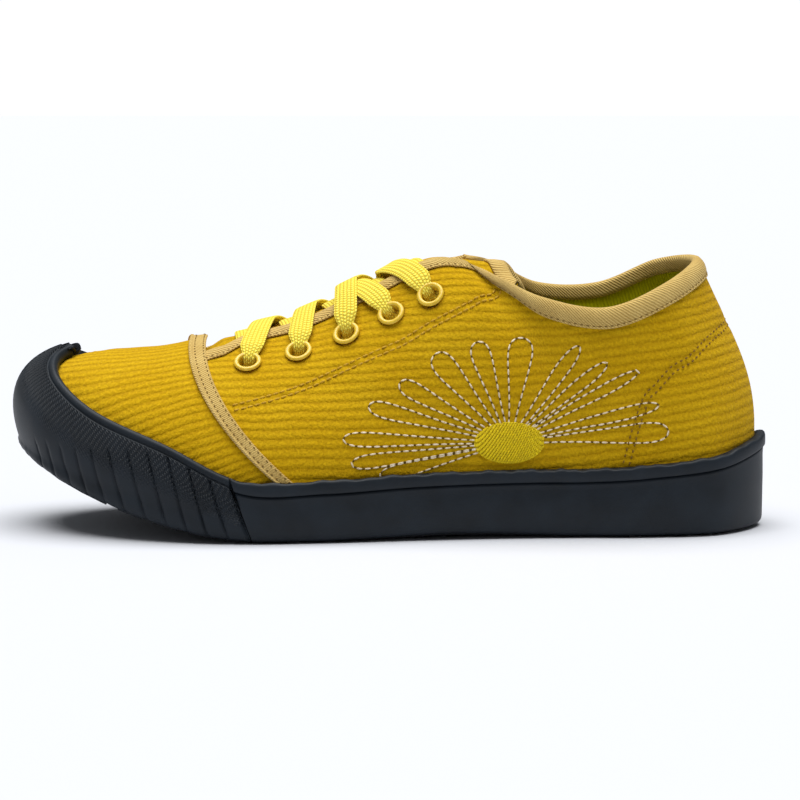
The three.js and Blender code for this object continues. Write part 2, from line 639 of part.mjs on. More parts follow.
/** The binding folded over the tongue's end. */
function makeTongueBinding() {
  const end = LAST_RIDGE + 1;
  const leg = BINDING_LEG / TONGUE_BEYOND;
  const gap = CLEARANCE / TONGUE_BEYOND;
  const tape = TAPE / TONGUE_BEYOND;
  const foot = tongueWidth(end - leg);
  const tip = tongueWidth(end);
  const sections = steps(-1, 1, 8).map((side) => [2 * CLEARANCE + TAPE, 2 * CLEARANCE].map((rise) => {
    const past = end + (rise > TAPE ? gap + tape : gap);
    return [
      tonguePoint(end - leg, side * foot, rise),
      tonguePoint(past, side * tip, rise),
      tonguePoint(past, side * tip, -TONGUE - rise),
      tonguePoint(end - leg, side * foot, -TONGUE - rise),
    ];
  }));
  return wallBetween(sections.map(([outside]) => outside), sections.map(([, inside]) => inside));
}

/** An eyelet: a flange on the outside and a barrel through the wall. */
function makeEyelet(u) {
  const hole = EYELET_HOLE / 2;
  const barrel = hole + EYELET_BARREL;
  const outer = EYELET_OUTER / 2;
  const low = -WALL + CLEARANCE;
  const high = CLEARANCE + EYELET_FLANGE;
  const outline = [
    [hole, low],
    [barrel, low],
    [barrel, CURVED_CLEARANCE],
    [outer, CURVED_CLEARANCE],
    [outer - 0.4, CLEARANCE + 0.7 * EYELET_FLANGE],
    [outer - 1.2, high],
    [hole, high - 0.5],
    [hole, low],
  ];
  return standOn(u, eyeletShare(u), outline.map(([r, h]) => new THREE.Vector2(r, h)), 10);
}

/** One stretch of lace, from the outer eyelet at one place to the inner eyelet at another. */
function makeLace(from, to, lift) {
  const bottom = CLEARANCE + EYELET_FLANGE + LACE_LIFT + lift;
  const middle = (from + to) / 2;
  const spot = (s, offset) => {
    const outer = s <= 0.5;
    const share = outer ? 2 * s : 2 - 2 * s;
    const place = lerp(outer ? from : to, middle, share);
    const u = outer ? place : AROUND - place;
    return skin(u, lerp(eyeletShare(outer ? from : AROUND - to), 1, share), offset);
  };
  const rows = steps(0, 1, 12).map((s) => {
    const run = spot(Math.min(s + 0.02, 1), bottom).sub(spot(Math.max(s - 0.02, 0), bottom)).normalize();
    const up = spot(s, bottom + 1).sub(spot(s, bottom)).normalize();
    const wide = run.cross(up).normalize();
    return [-1, 1].map((side) => [bottom + LACE, bottom].map((offset) =>
      spot(s, offset).addScaledVector(wide, side * LACE_WIDTH / 2)));
  });
  return wallOf(rows);
}

/** The crossed stretches of lace, joined where they meet. */
function makeCrossedLace() {
  const [, second, third, fourth, fifth] = EYELETS;
  const stretches = [
    makeLace(second, third, 0),
    makeLace(fourth, third, 0),
    makeLace(fifth, fourth, 0),
    makeLace(third, fourth, 0.5 * LACE),
  ];
  return fromManifold(stretches.map(toManifold).reduce((whole, part) => whole.add(part)));
}

const FINISHES = {
  corduroy: { color: '#c9981a', roughness: 0.95 },
  tape: { color: '#cbae62', roughness: 0.9 },
  lace: { color: '#f3dc45', roughness: 0.9 },
  painted: { color: '#d8b83c', roughness: 0.45 },
  rubber: { color: '#2a3036', roughness: 0.7 },
  lining: { color: '#8f9212', roughness: 0.95 },
};

const shoe = new THREE.Group();

/** Adds a named piece with its finish. */
function add(name, finish, geometry) {
  const mesh = new THREE.Mesh(geometry, new THREE.MeshStandardMaterial({ metalness: 0, ...FINISHES[finish] }));
  mesh.name = name;
  mesh.geometry.computeVertexNormals();
  shoe.add(mesh);
}

add('outsole', 'rubber', makeOutsole());
add('sidewall', 'rubber', makeSidewall());
add('toe_guard', 'rubber', makeToeGuard());
add('insole', 'lining', makeInsole());
add('upper', 'corduroy', makeUpper());
add('vamp_tape', 'tape', makeTape());
add('edge_binding', 'tape', makeBinding());
add('tongue', 'corduroy', makeTongue());
add('tongue_binding', 'tape', makeTongueBinding());
EYELETS.forEach((u, i) => {
  add(`eyelet_outer_${i + 1}`, 'painted', makeEyelet(u));
  add(`eyelet_inner_${i + 1}`, 'painted', makeEyelet(AROUND - u));
});
add('lace_front', 'lace', makeLace(EYELETS[0], EYELETS[1], 0));
add('lace_crossed', 'lace', makeCrossedLace());

export default shoe;
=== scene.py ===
"""Canvas shoe for the left foot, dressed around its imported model.

Metres, X from the toe (-) to the heel (+), Y from the outer side (-) to the inner side (+), Z up.
The classes hold their sizes in millimetres, in the terms of the shoe's last.
"""

import logging
import math
from collections.abc import Callable, Sequence
from dataclasses import dataclass
from enum import Enum

import bmesh
import bpy
import numpy as np
from mathutils import Matrix, Vector
from mathutils.bvhtree import BVHTree


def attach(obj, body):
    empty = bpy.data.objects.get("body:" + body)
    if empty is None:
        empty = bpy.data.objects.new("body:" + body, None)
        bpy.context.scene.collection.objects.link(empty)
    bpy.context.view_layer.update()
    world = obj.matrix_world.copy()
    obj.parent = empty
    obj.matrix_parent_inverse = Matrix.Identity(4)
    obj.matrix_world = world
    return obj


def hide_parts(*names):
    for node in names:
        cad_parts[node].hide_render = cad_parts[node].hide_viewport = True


Array = np.ndarray
Place = tuple[float, float]

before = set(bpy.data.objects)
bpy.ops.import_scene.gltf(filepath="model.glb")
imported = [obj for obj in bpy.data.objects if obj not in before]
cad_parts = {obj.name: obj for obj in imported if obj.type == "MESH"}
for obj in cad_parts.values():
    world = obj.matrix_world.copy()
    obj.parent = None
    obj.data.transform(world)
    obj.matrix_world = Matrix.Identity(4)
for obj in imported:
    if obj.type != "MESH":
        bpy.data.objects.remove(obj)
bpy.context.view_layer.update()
LOG = logging.getLogger("canvas_shoe")
MM = 0.001
BODY = "root"
FABRIC_MAP = "fabric"


class Side(Enum):
    """A side of the shoe."""

    OUTER = "outer"
    INNER = "inner"


# Shape of the last


@dataclass(frozen=True)
class Section:
    """One section of the shoe, in shares of its length, ball width and height, with angles in degrees."""

    outer_along: float
    outer_across: float
    inner_along: float
    inner_across: float
    outer_rim: float
    inner_rim: float
    top_along: float
    outer_top_across: float
    inner_top_across: float
    outer_top: float
    inner_top: float
    lean: float
    roll: float
    low: float
    high: float


SECTIONS = {
    "toe tip": Section(
        1.0, 0.07, 1.0, 0.07, 0.618, 0.618, 0.88, 0.1, 0.1, 0.638, 0.638, 17, 86, 0.72, 0.76
    ),
    "toe front": Section(
        0.965, -0.19, 0.975, 0.27, 0.56, 0.6, 0.864, 0.096, 0.096, 0.642, 0.642, 15, 88, 0.7, 0.72
    ),
    "toe corner": Section(
        0.89, -0.35, 0.905, 0.415, 0.447, 0.54, 0.828, 0.084, 0.084, 0.65, 0.65, 13, 90, 0.66, 0.62
    ),
    "toe back": Section(
        0.79, -0.455, 0.815, 0.48, 0.345, 0.4, 0.775, 0.07, 0.07, 0.675, 0.675, 10, 90, 0.6, 0.55
    ),
    "ball": Section(
        0.69, -0.494, 0.715, 0.494, 0.225, 0.24, 0.705, 0.058, 0.058, 0.705, 0.705, 8, 88, 0.58, 0.46
    ),
    "ball back": Section(
        0.58, -0.465, 0.6, 0.46, 0.223, 0.23, 0.62, 0.052, 0.052, 0.768, 0.768, 8, 85, 0.56, 0.40
    ),
    "waist front": Section(
        0.47, -0.412, 0.485, 0.38, 0.24, 0.245, 0.525, 0.046, 0.046, 0.892, 0.892, 6, 86, 0.6, 0.48
    ),
    "waist": Section(
        0.38, -0.375, 0.385, 0.325, 0.247, 0.25, 0.438, 0.036, 0.036, 0.996, 0.996, 5, 88, 0.66, 0.64
    ),
    "collar front": Section(
        0.31, -0.355, 0.31, 0.32, 0.25, 0.252, 0.362, -0.19, 0.205, 0.925, 0.95, 5, 44, 0.54, 0.42
    ),
    "collar side": Section(
        0.24, -0.345, 0.24, 0.33, 0.25, 0.252, 0.298, -0.265, 0.268, 0.842, 0.86, 5, 14, 0.42, 0.36
    ),
    "collar low": Section(
        0.16, -0.34, 0.16, 0.335, 0.262, 0.262, 0.215, -0.285, 0.285, 0.808, 0.858, 5, 10, 0.4, 0.38
    ),
    "heel corner": Section(
        0.06, -0.27, 0.06, 0.27, 0.292, 0.292, 0.136, -0.22, 0.22, 0.892, 0.95, 5, 18, 0.42, 0.44
    ),
    "heel back": Section(
        0.0, 0.0, 0.0, 0.0, 0.345, 0.345, 0.088, 0.0, 0.0, 0.974, 0.974, 6, 24, 0.48, 0.47
    ),
}
HEEL = len(SECTIONS) - 1
AROUND = 2 * HEEL


def smooth(value: Array, low: float, high: float) -> Array:
    """A smooth step.

    Args:
        value: Where the step is read.
        low: Where it is 0.
        high: Where it is 1.

    Returns:
        Values from 0 to 1.
    """
    t = np.clip((np.asarray(value, float) - low) / (high - low), 0, 1)
    return t * t * (3 - 2 * t)


def unit(vectors: Array) -> Array:
    """The vectors at length 1."""
    return vectors / np.maximum(np.linalg.norm(vectors, axis=-1, keepdims=True), 1e-9)


def catmull(a: Array, b: Array, c: Array, d: Array, f: Array) -> Array:
    """Values on a smooth curve between b and c, with a before and d after them.

    Args:
        a: Values before.
        b: Values at the start.
        c: Values at the end.
        d: Values after.
        f: Shares of the way from b to c.

    Returns:
        The curve's values.
    """
    bend = 2 * a - 5 * b + 4 * c - d
    twist = 3 * b - a - 3 * c + d
    return 0.5 * (2 * b + (c - a) * f + bend * f**2 + twist * f**3)


def halve(low: Array, high: Array, is_low: Callable[[Array], Array]) -> Array:
    """Halves ranges until a test changes.

    Args:
        low: Low ends, where the test holds.
        high: High ends, where it doesn't.
        is_low: The test, on values in the ranges.

    Returns:
        The values at which the test changes.
    """
    for _ in range(26):
        middle = (low + high) / 2
        holds = is_low(middle)
        low, high = np.where(holds, middle, low), np.where(holds, high, middle)
    return (low + high) / 2


@dataclass(frozen=True)
class Last:
    """The last's surface: u runs round the shoe from the toe's tip, t up each rib, in millimetres."""

    length: float = 275
    ball: float = 100
    height: float = 100
    rubber_side: float = 4
    rubber_toe: float = 5.5
    bed_ball: float = 11
    bed_heel: float = 18
    bed_toe: float = 9
    arch_rise: float = 1.5
    toe_spring: float = 28
    flat_heel: float = 0.22
    flat_ball: float = 0.60
    spring_start: float = 0.66
    throat_closed: float = 3.42
    last_ridge: float = 7
    throat_along: Sequence[float] = (0.742, 0.720, 0.700, 0.680, 0.600, 0.500, 0.420)
    throat_half: Sequence[float] = (0.190, 0.165, 0.115, 0.090, 0.085, 0.085, 0.100)

    def column(self, name: str, u: Array) -> Array:
        """A column's value at places in the loop, on a smooth curve through the sections.

        Args:
            name: Column without its side, or one that both sides share.
            u: Places round the shoe.

        Returns:
            The column's values.
        """
        rows = list(SECTIONS.values())
        outer = [getattr(row, f"outer_{name}", None) or getattr(row, name, 0) for row in rows]
        inner = [getattr(row, f"inner_{name}", None) or getattr(row, name, 0) for row in rows[-2:0:-1]]
        values = np.array(outer + inner, float)
        u = np.asarray(u, float) % AROUND
        i = np.floor(u).astype(int)
        return catmull(*(values[(i + k) % AROUND] for k in (-1, 0, 1, 2)), u - i)

    def outline(self, u: Array, inset: Array = 0) -> tuple[Array, Array]:
        """Points on the sole's outline.

        Args:
            u: Places round the shoe.
            inset: How far the points are moved inwards.

        Returns:
            The points and the outward directions, in the plane.
        """
        step = 1e-3

        def point(v: Array) -> Array:
            x = self.length / 2 - self.column("along", v) * self.length
            return np.stack([x, self.column("across", v) * self.ball], -1)

        way = unit(point(u + step) - point(u - step))
        out = np.stack([way[..., 1], -way[..., 0]], -1)
        return point(u) - out * np.asarray(inset)[..., None], out

    def along_of(self, x: Array) -> Array:
        """Place along the shoe, as a share from the heel."""
        return 0.5 - x / self.length

    def ground(self, along: Array) -> Array:
        """Height of the tread."""
        arch = np.clip((along - self.flat_heel) / (self.flat_ball - self.flat_heel), 0, 1)
        spring = np.clip((along - self.spring_start) / (1 - self.spring_start), 0, None)
        return self.arch_rise * np.sin(np.pi * arch) ** 2 + self.toe_spring * spring**1.75

    def footbed(self, along: Array) -> Array:
        """Height of the footbed."""
        heel = 1 - smooth(along, 0.15, 0.6)
        toe = smooth(along, 0.7, 1)
        ends = (self.bed_heel - self.bed_ball) * heel + (self.bed_toe - self.bed_ball) * toe
        return self.ground(along) + self.bed_ball + ends

    def rubber(self, u: Array) -> Array:
        """Thickness of the rubber round the upper."""
        toe = smooth(self.column("along", u), 0.78, 0.96)
        return self.rubber_side + (self.rubber_toe - self.rubber_side) * toe

    def ridge_slope(self, u: Array) -> Array:
        """Rise of the instep's line for each millimetre towards the heel."""
        step = 0.05
        run = (self.column("top_along", u - step) - self.column("top_along", u + step)) * self.length
        rise = (self.column("top", u + step) - self.column("top", u - step)) * self.height
        slope = np.where(np.abs(run) > 0.05, rise / np.where(np.abs(run) > 0.05, run, 1), 0.05)
        return np.clip(slope, 0, 0.6) * np.clip((self.column("roll", u) - 40) / 40, 0, 1)

    def rib(self, u: Array, t: Array) -> Array:
        """Points of the upper's outside.

        Args:
            u: Places round the shoe.
            t: Shares of the ribs, from the lower edge (0) to the top (1).

        Returns:
            The points.
        """
        u, t = np.broadcast_arrays(np.asarray(u, float), np.asarray(t, float))
        flat, out = self.outline(u, self.rubber(u))
        foot = np.concatenate([flat, self.footbed(self.along_of(flat[..., 0]))[..., None]], -1)
        top_x = self.length / 2 - self.column("top_along", u) * self.length
        top_y = self.column("top_across", u) * self.ball
        top = np.stack([top_x, top_y, self.column("top", u) * self.height], -1)
        lean, roll = np.radians(self.column("lean", u)), np.radians(self.column("roll", u))
        rise = np.maximum(top[..., 2] - foot[..., 2], 1)
        away = foot[..., :2] - top[..., :2]
        reach = np.linalg.norm(away, axis=-1)
        away = unit(away)
        first = np.concatenate([out * np.sin(lean)[..., None], np.cos(lean)[..., None]], -1)
        fall = away[..., 0] * self.ridge_slope(u) * np.sin(roll) - np.cos(roll)
        second = np.concatenate([away * np.sin(roll)[..., None], fall[..., None]], -1)
        lower = foot + first * (self.column("low", u) * rise)[..., None]
        handle = self.column("high", u) * (np.sin(roll) * reach + np.cos(roll) * rise)
        upper = top + second * handle[..., None]
        t = t[..., None]
        s = 1 - t
        return s**3 * foot + 3 * s * s * t * lower + 3 * s * t * t * upper + t**3 * top

    def side_normal(self, u: Array, t: Array) -> Array:
        """Normals from one side alone.

        Args:
            u: Places round the shoe.
            t: Shares of the ribs.

        Returns:
            The normals.
        """
        step = 0.01
        place = np.minimum(t, 0.97)
        around = self.rib(u + 2 * step, place) - self.rib(u - 2 * step, place)
        up = self.rib(u, np.minimum(place + step, 1)) - self.rib(u, np.maximum(place - step, 0))
        return unit(np.cross(around, up))

    def normal(self, u: Array, t: Array) -> Array:
        """Normals, with both sides joined smoothly on the instep's line.

        Args:
            u: Places round the shoe.
            t: Shares of the ribs.

        Returns:
            The normals.
        """
        u, t = np.broadcast_arrays(np.asarray(u, float), np.asarray(t, float))
        joined = np.linalg.norm(self.rib(u, 1.0) - self.rib(AROUND - u, 1.0), axis=-1) < 0.01
        share = (np.where(joined, np.clip((t - 0.94) / 0.06, 0, 1), 0) / 2)[..., None]
        return unit(self.side_normal(u, t) * (1 - share) + self.side_normal(AROUND - u, t) * share)

    def skin(self, u: Array, t: Array, offset: Array) -> Array:
        """Points of the upper, moved outwards (or inwards, below 0).

        Args:
            u: Places round the shoe.
            t: Shares of the ribs.
            offset: How far the points are moved outwards.

        Returns:
            The points.
        """
        return self.rib(u, t) + self.normal(u, t) * np.asarray(offset, float)[..., None]

    def share_at_height(self, u: Array, height: Array) -> Array:
        """Shares of the ribs at which they reach a height.

        Args:
            u: Places round the shoe.
            height: The height.

        Returns:
            The shares.
        """
        zero = np.zeros_like(np.asarray(u, float) + height)
        return halve(zero, zero + 1, lambda t: self.rib(u, t)[..., 2] < height)

    def rim_height(self, u: Array) -> Array:
        """Height of the rubber's top edge."""
        return self.column("rim", u) * self.height

    def rim_share(self, u: Array) -> Array:
        """Shares of the ribs at the rubber's top edge."""
        return self.share_at_height(u, self.rim_height(u))

    def share_below(self, u: Array, start: Array, length: Array) -> Array:
        """Shares of the ribs that lie a length below other shares.

        Args:
            u: Places round the shoe.
            start: The other shares.
            length: The length.

        Returns:
            The shares.
        """
        first = self.rib(u, start)
        zero = np.zeros(first.shape[:-1])

        def beyond(t: Array) -> Array:
            return np.linalg.norm(self.rib(u, t) - first, axis=-1) > length

        return halve(zero, zero + start, beyond)

    def half_throat(self, u: Array) -> Array:
        """Half the throat's width where a rib meets the top."""
        along = self.column("top_along", u)
        half = np.interp(along, self.throat_along[::-1], self.throat_half[::-1]) * self.ball
        return np.where(np.minimum(u, AROUND - u) < self.throat_closed + 1e-6, 0, half)

    def edge_share(self, u: Array) -> Array:
        """Share of each rib that the upper keeps."""
        u = np.asarray(u, float)
        half = self.half_throat(u)
        middle = (self.column("top_across", u) + self.column("top_across", AROUND - u)) / 2 * self.ball

        def beside(t: Array) -> Array:
            """Whether the ribs lie beside the throat at these shares."""
            return np.abs(self.rib(u, t)[..., 1] - middle) > half

        cut = halve(np.full_like(u, 0.4), np.ones_like(u), beside)
        whole = (half == 0) | (np.minimum(u, AROUND - u) > self.last_ridge + 1)
        return np.where(whole, 1, cut)

    def side_foot(self, u: Array) -> Array:
        """Height of the sidewall's lower edge."""
        return self.ground(self.along_of(self.outline(u)[0][..., 0])) + 0.6


LAST = Last()
WALL = 2.0
SKIN_GAP = 0.2
EYELET_PLACES = (4.14, 4.83, 5.44, 6.00, 6.53)
EYELET_SET = 18.0
BINDING_START = 3.47


def eyelet_share(u: Array) -> Array:
    """Shares of the ribs at which eyelets are set."""
    return LAST.share_below(u, LAST.edge_share(u), EYELET_SET)


def mirrored(u: Array) -> Array:
    """The places opposite, on the shoe's other side."""
    return AROUND - u


# Making meshes


def lofted(
    name: str, points: Array, fabric: Array | None = None, caps: bool = False, join: float = 0.002
) -> bmesh.types.BMesh:
    """Shapes a grid into a surface and joins the edges that meet.

    Args:
        name: What is being made, for the log.
        points: Places of the grid's corners in millimetres, as rows, columns and coordinates.
        fabric: Places of the corners on the cloth in millimetres, as rows, columns and coordinates.
        caps: Whether open ends are closed with faces.
        join: Corners nearer to each other than this become one.

    Returns:
        The surface as a bmesh, in metres.
    """
    rows, columns = points.shape[:2]
    bm = bmesh.new()
    bmesh.ops.create_grid(bm, x_segments=rows - 1, y_segments=columns - 1, size=0.5)
    at: dict[bmesh.types.BMVert, tuple[int, int]] = {}
    for vert in bm.verts:
        i = round((vert.co.x + 0.5) * (rows - 1))
        j = round((vert.co.y + 0.5) * (columns - 1))
        at[vert] = (i, j)
        vert.co = Vector(points[i, j]) * MM
    if fabric is not None:
        layer = bm.loops.layers.uv.new(FABRIC_MAP)
        for face in bm.faces:
            for loop in face.loops:
                loop[layer].uv = fabric[at[loop.vert]]
    bmesh.ops.remove_doubles(bm, verts=bm.verts, dist=join * MM)
    if caps:
        bmesh.ops.holes_fill(bm, edges=[edge for edge in bm.edges if edge.is_boundary])
    bmesh.ops.recalc_face_normals(bm, faces=bm.faces)
    LOG.debug("%s: %d faces", name, len(bm.faces))
    return bm


def ring(points: Array) -> Array:
    """A grid whose columns close on themselves."""
    return np.concatenate([points, points[:, :1]], axis=1)


def lengths(points: Array) -> Array:
    """Running length along the first axis of a grid of points."""
    steps = np.linalg.norm(np.diff(points, axis=0), axis=-1)
    return np.concatenate([np.zeros_like(steps[:1]), np.cumsum(steps, axis=0)])


def finished(
    name: str,
    bm: bmesh.types.BMesh,
    materials: Sequence[bpy.types.Material],
    nodes: Sequence[str] = (),
) -> bpy.types.Object:
    """Makes a bmesh a piece of the shoe.

    Args:
        name: The piece's name.
        bm: Its shape, in metres and in place.
        materials: Its materials.
        nodes: The model's nodes that it replaces.

    Returns:
        The piece.
    """
    for face in bm.faces:
        face.smooth = True
    mesh = bpy.data.meshes.new(name)
    bm.to_mesh(mesh)
    bm.free()
    for material in materials:
        mesh.materials.append(material)
    piece = bpy.data.objects.new(name, mesh)
    bpy.context.scene.collection.objects.link(piece)
    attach(piece, BODY)
    if nodes:
        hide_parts(*nodes)
    LOG.info("%s: %d faces", name, len(mesh.polygons))
    return piece


@dataclass(frozen=True)
class Trace:
    """A line on the shoe: points and surface normals along it, in millimetres."""

    points: Array
    normals: Array

    def beside(self, distance: float) -> "Trace":
        """The same line moved sideways on the surface."""
        way = unit(np.gradient(self.points, axis=0))
        return Trace(self.points + unit(np.cross(way, self.normals)) * distance, self.normals)

    def spaced(self, pitch: float, first: float = 0.5) -> tuple[Array, Array, Array]:
        """Places at equal steps along the line.

        Args:
            pitch: Length of a step.
            first: Share of a step before the first place.

        Returns:
            Points, directions and normals.
        """
        run = lengths(self.points)
        stops = np.arange(first * pitch, run[-1], pitch)
        way = unit(np.gradient(self.points, axis=0))
        return tuple(
            np.stack([np.interp(stops, run, values[:, k]) for k in range(3)], -1)
            for values in (self.points, way, self.normals)
        )


def on_skin(knots: Sequence[Place], offset: float = 0.0, opposite: bool = False) -> Trace:
    """A smooth line on the upper through given places.

    Args:
        knots: Places round the shoe, with their shares of the rib.
        offset: How far the line stands off the surface.
        opposite: Whether it lies on the shoe's other side.

    Returns:
        The line.
    """
    u, t = (curve_through([knot[k] for knot in knots], 14) for k in (0, 1))
    if opposite:
        u = mirrored(u)
    return Trace(LAST.skin(u, t, np.full_like(u, offset)), LAST.normal(u, t))


def curve_through(values: Sequence[float], count: int) -> Array:
    """Values on a smooth curve through others, with count steps between each two."""
    v = np.array(values, float)
    v = np.concatenate([[2 * v[0] - v[1]], v, [2 * v[-1] - v[-2]]])
    place = np.linspace(0, len(values) - 1, (len(values) - 1) * count + 1)
    i = np.minimum(place.astype(int), len(values) - 2)
    return catmull(*(v[i + k] for k in range(4)), place - i)


# Finishes


def rgb(code: str) -> tuple[float, float, float, float]:
    """An sRGB hex colour as linear values with alpha."""
    parts = [int(code[k : k + 2], 16) / 255 for k in (1, 3, 5)]
    linear = [part / 12.92 if part <= 0.04045 else ((part + 0.055) / 1.055) ** 2.4 for part in parts]
    return (*linear, 1.0)


class Shader:
    """A material's nodes, added one at a time."""

    def __init__(self, name: str) -> None:
        """Starts a material with a principled shader.

        Args:
            name: The finish's name.
        """
        self.material = bpy.data.materials.new(name)
        self.material.use_nodes = True
        self.tree = self.material.node_tree
        self.base = self.tree.nodes["Principled BSDF"]

    def add(
        self, kind: str, inputs: dict[int | str, object] | None = None, **settings: object
    ) -> bpy.types.Node:
        """Adds a node with its settings and links.

        Args:
            kind: The node's type, without its prefix.
            inputs: Values or sockets for its inputs, by name or number.
            **settings: Values for its properties.

        Returns:
            The node.
        """
        node = self.tree.nodes.new(f"ShaderNode{kind}")
        for name, value in settings.items():
            setattr(node, name, value)
        for key, value in (inputs or {}).items():
            if isinstance(value, bpy.types.NodeSocket):
                self.tree.links.new(value, node.inputs[key])
            else:
                node.inputs[key].default_value = value
        return node

    def math(self, operation: str, *values: object) -> bpy.types.NodeSocket:
        """A calculation's result."""
        return self.add("Math", dict(enumerate(values)), operation=operation).outputs[0]

    def mix(self, share: object, low: object, high: object) -> bpy.types.NodeSocket:
        """A colour between two others."""
        return self.add("Mix", {0: share, 6: low, 7: high}, data_type="RGBA").outputs[2]

    def noise(self, vector: object, scale: float, detail: float = 2.0) -> bpy.types.NodeSocket:
        """A noise's value."""
        return self.add("TexNoise", {"Vector": vector, "Scale": scale, "Detail": detail}).outputs[0]

    def cloth(self) -> tuple[bpy.types.NodeSocket, bpy.types.NodeSocket, bpy.types.NodeSocket]:
        """The piece's own map in millimetres: the whole vector, then along and across."""
        place = self.add("UVMap", uv_map=FABRIC_MAP).outputs[0]
        parts = self.add("SeparateXYZ", {0: place})
        return place, parts.outputs[0], parts.outputs[1]

    def vector(self, x: object, y: object) -> bpy.types.NodeSocket:
        """A vector in the plane."""
        return self.add("CombineXYZ", {0: x, 1: y}).outputs[0]

    def wave(self, place: object, pitch: float) -> bpy.types.NodeSocket:
        """A wave from 0 to 1 with its pitch in millimetres."""
        turn = self.math("MULTIPLY", place, 2 * math.pi / pitch)
        return self.math("MULTIPLY_ADD", self.math("COSINE", turn), 0.5, 0.5)

    def level(self, value: object, low: float, high: float) -> bpy.types.NodeSocket:
        """A value spread from 0 at low to 1 at high, and held there."""
        node = self.add("MapRange", {0: value, 1: low, 2: high})
        return node.outputs[0]

    def relief(self, height: object, depth: float) -> None:
        """Raises the surface by a height from 0 to 1, with its depth in millimetres."""
        bump = self.add("Bump", {"Height": height, "Distance": depth * MM, "Strength": 1.0})
        self.tree.links.new(bump.outputs[0], self.base.inputs["Normal"])

    def dress(self, colour: object, **constants: object) -> bpy.types.Material:
        """Sets the shader's colour and constants.

        Args:
            colour: A colour or a socket.
            **constants: Values for the shader's inputs, named with _ for each space.

        Returns:
            The material.
        """
        if isinstance(colour, bpy.types.NodeSocket):
            self.tree.links.new(colour, self.base.inputs["Base Color"])
        else:
            self.base.inputs["Base Color"].default_value = colour
        for name, value in constants.items():
            socket = self.base.inputs[name.replace("_", " ")]
            if isinstance(value, bpy.types.NodeSocket):
                self.tree.links.new(value, socket)
            else:
                socket.default_value = value
        return self.material


@dataclass(frozen=True)
class Corduroy:
    """Cotton corduroy, piece-dyed mustard: flat-topped napped wales, with painted shade darkening the
    grooves.
    """

    name: str = "cotton corduroy"
    wale: float = 3.5
    # Strength of the painted shade that darkens the grooves.
    groove_shade: float = 0.5
    top: str = "#D6AB10"
    # The grooves' colour, used for their painted shade and for the darker weft and nap specks.
    groove: str = "#A47C06"
    worn: str = "#DDB61C"
    shade: str = "#C3980C"

    def material(self) -> bpy.types.Material:
        """The finish as a material."""
        shader = Shader(self.name)
        place, along, across = shader.cloth()
        drift = shader.math("MULTIPLY_ADD", shader.noise(place, 0.035), 2.6, -1.3)
        wander = shader.math("MULTIPLY_ADD", shader.noise(place, 0.16), 0.8, -0.4)
        moved = shader.math("ADD", shader.math("ADD", across, drift), wander)
        wale = shader.math("POWER", shader.wave(moved, self.wale), 0.6)
        streaks = shader.noise(shader.vector(shader.math("MULTIPLY", along, 0.45), across), 0.9, 4.0)
        weft = shader.noise(shader.vector(along, shader.math("MULTIPLY", across, 0.45)), 1.5, 2.0)
        nap = shader.noise(place, 0.9, 6.0)
        patches = shader.level(shader.noise(place, 0.045, 3.0), 0.35, 0.65)
        body = shader.mix(shader.level(streaks, 0.3, 0.7), rgb(self.shade), rgb(self.top))
        body = shader.mix(shader.math("MULTIPLY", patches, 0.45), body, rgb(self.worn))
        dark_weft = shader.math("MULTIPLY", shader.level(weft, 0.5, 0.75), 0.35)
        body = shader.mix(dark_weft, body, rgb(self.groove))
        # Painted shade: the colour darkens towards the groove colour in the hollows between the wales.
        depth = shader.math("MULTIPLY", shader.math("SUBTRACT", 1.0, wale), self.groove_shade)
        speckle = shader.level(nap, 0.4, 0.62)
        colour = shader.mix(shader.math("MULTIPLY_ADD", speckle, 0.4, depth), body, rgb(self.groove))
        pile = shader.math("MULTIPLY_ADD", nap, 0.9, shader.math("MULTIPLY", weft, 0.3))
        shader.relief(shader.math("MULTIPLY_ADD", wale, 0.5, pile), 0.6)
        return shader.dress(colour, Roughness=0.95, Sheen_Weight=0.03, Specular_IOR_Level=0.05)


@dataclass(frozen=True)
class Twill:
    """Cotton twill tape or lining: fine diagonal ribs, dull and soft."""

    name: str
    light: str
    dark: str
    pitch: float = 1.3
    slant: float = 1.0
    depth: float = 0.22

    def material(self) -> bpy.types.Material:
        """The finish as a material."""
        shader = Shader(self.name)
        place, along, across = shader.cloth()
        diagonal = shader.math("MULTIPLY_ADD", across, self.slant, along)
        wander = shader.math("MULTIPLY_ADD", shader.noise(place, 0.5), 0.5, diagonal)
        rib = shader.wave(wander, self.pitch)
        fibres = shader.noise(place, 2.2, 4.0)
        patches = shader.noise(place, 0.09, 2.0)
        share = shader.math("MULTIPLY_ADD", fibres, 0.5, shader.math("MULTIPLY", rib, 0.6))
        share = shader.math("ADD", share, shader.math("MULTIPLY_ADD", patches, 0.6, -0.4))
        shader.relief(shader.math("MULTIPLY_ADD", fibres, 0.4, rib), self.depth)
        colour = shader.mix(share, rgb(self.dark), rgb(self.light))
        return shader.dress(colour, Roughness=0.88, Sheen_Weight=0.05, Specular_IOR_Level=0.1)


@dataclass(frozen=True)
class Knit:
    """Flat knitted cotton lace: columns of small slanted loops with pinholes between them."""

    name: str = "knitted cotton lace"
    light: str = "#FFEE62"
    dark: str = "#E0BA28"
    column: float = 1.5
    course: float = 1.35

    def material(self) -> bpy.types.Material:
        """The finish as a material."""
        shader = Shader(self.name)
        place, along, across = shader.cloth()
        columns = shader.wave(across, self.column)
        half = shader.math("MULTIPLY", shader.wave(across, 2 * self.column), self.course * 0.5)
        courses = shader.wave(shader.math("ADD", along, half), self.course)
        loop = shader.math("POWER", shader.math("MULTIPLY", columns, courses), 0.5)
        fibres = shader.noise(place, 2.5, 3.0)
        shader.relief(shader.math("MULTIPLY_ADD", fibres, 0.2, loop), 0.4)
        colour = shader.mix(shader.level(loop, 0.02, 0.5), rgb(self.dark), rgb(self.light))
        return shader.dress(colour, Roughness=0.9, Sheen_Weight=0.05, Specular_IOR_Level=0.1)


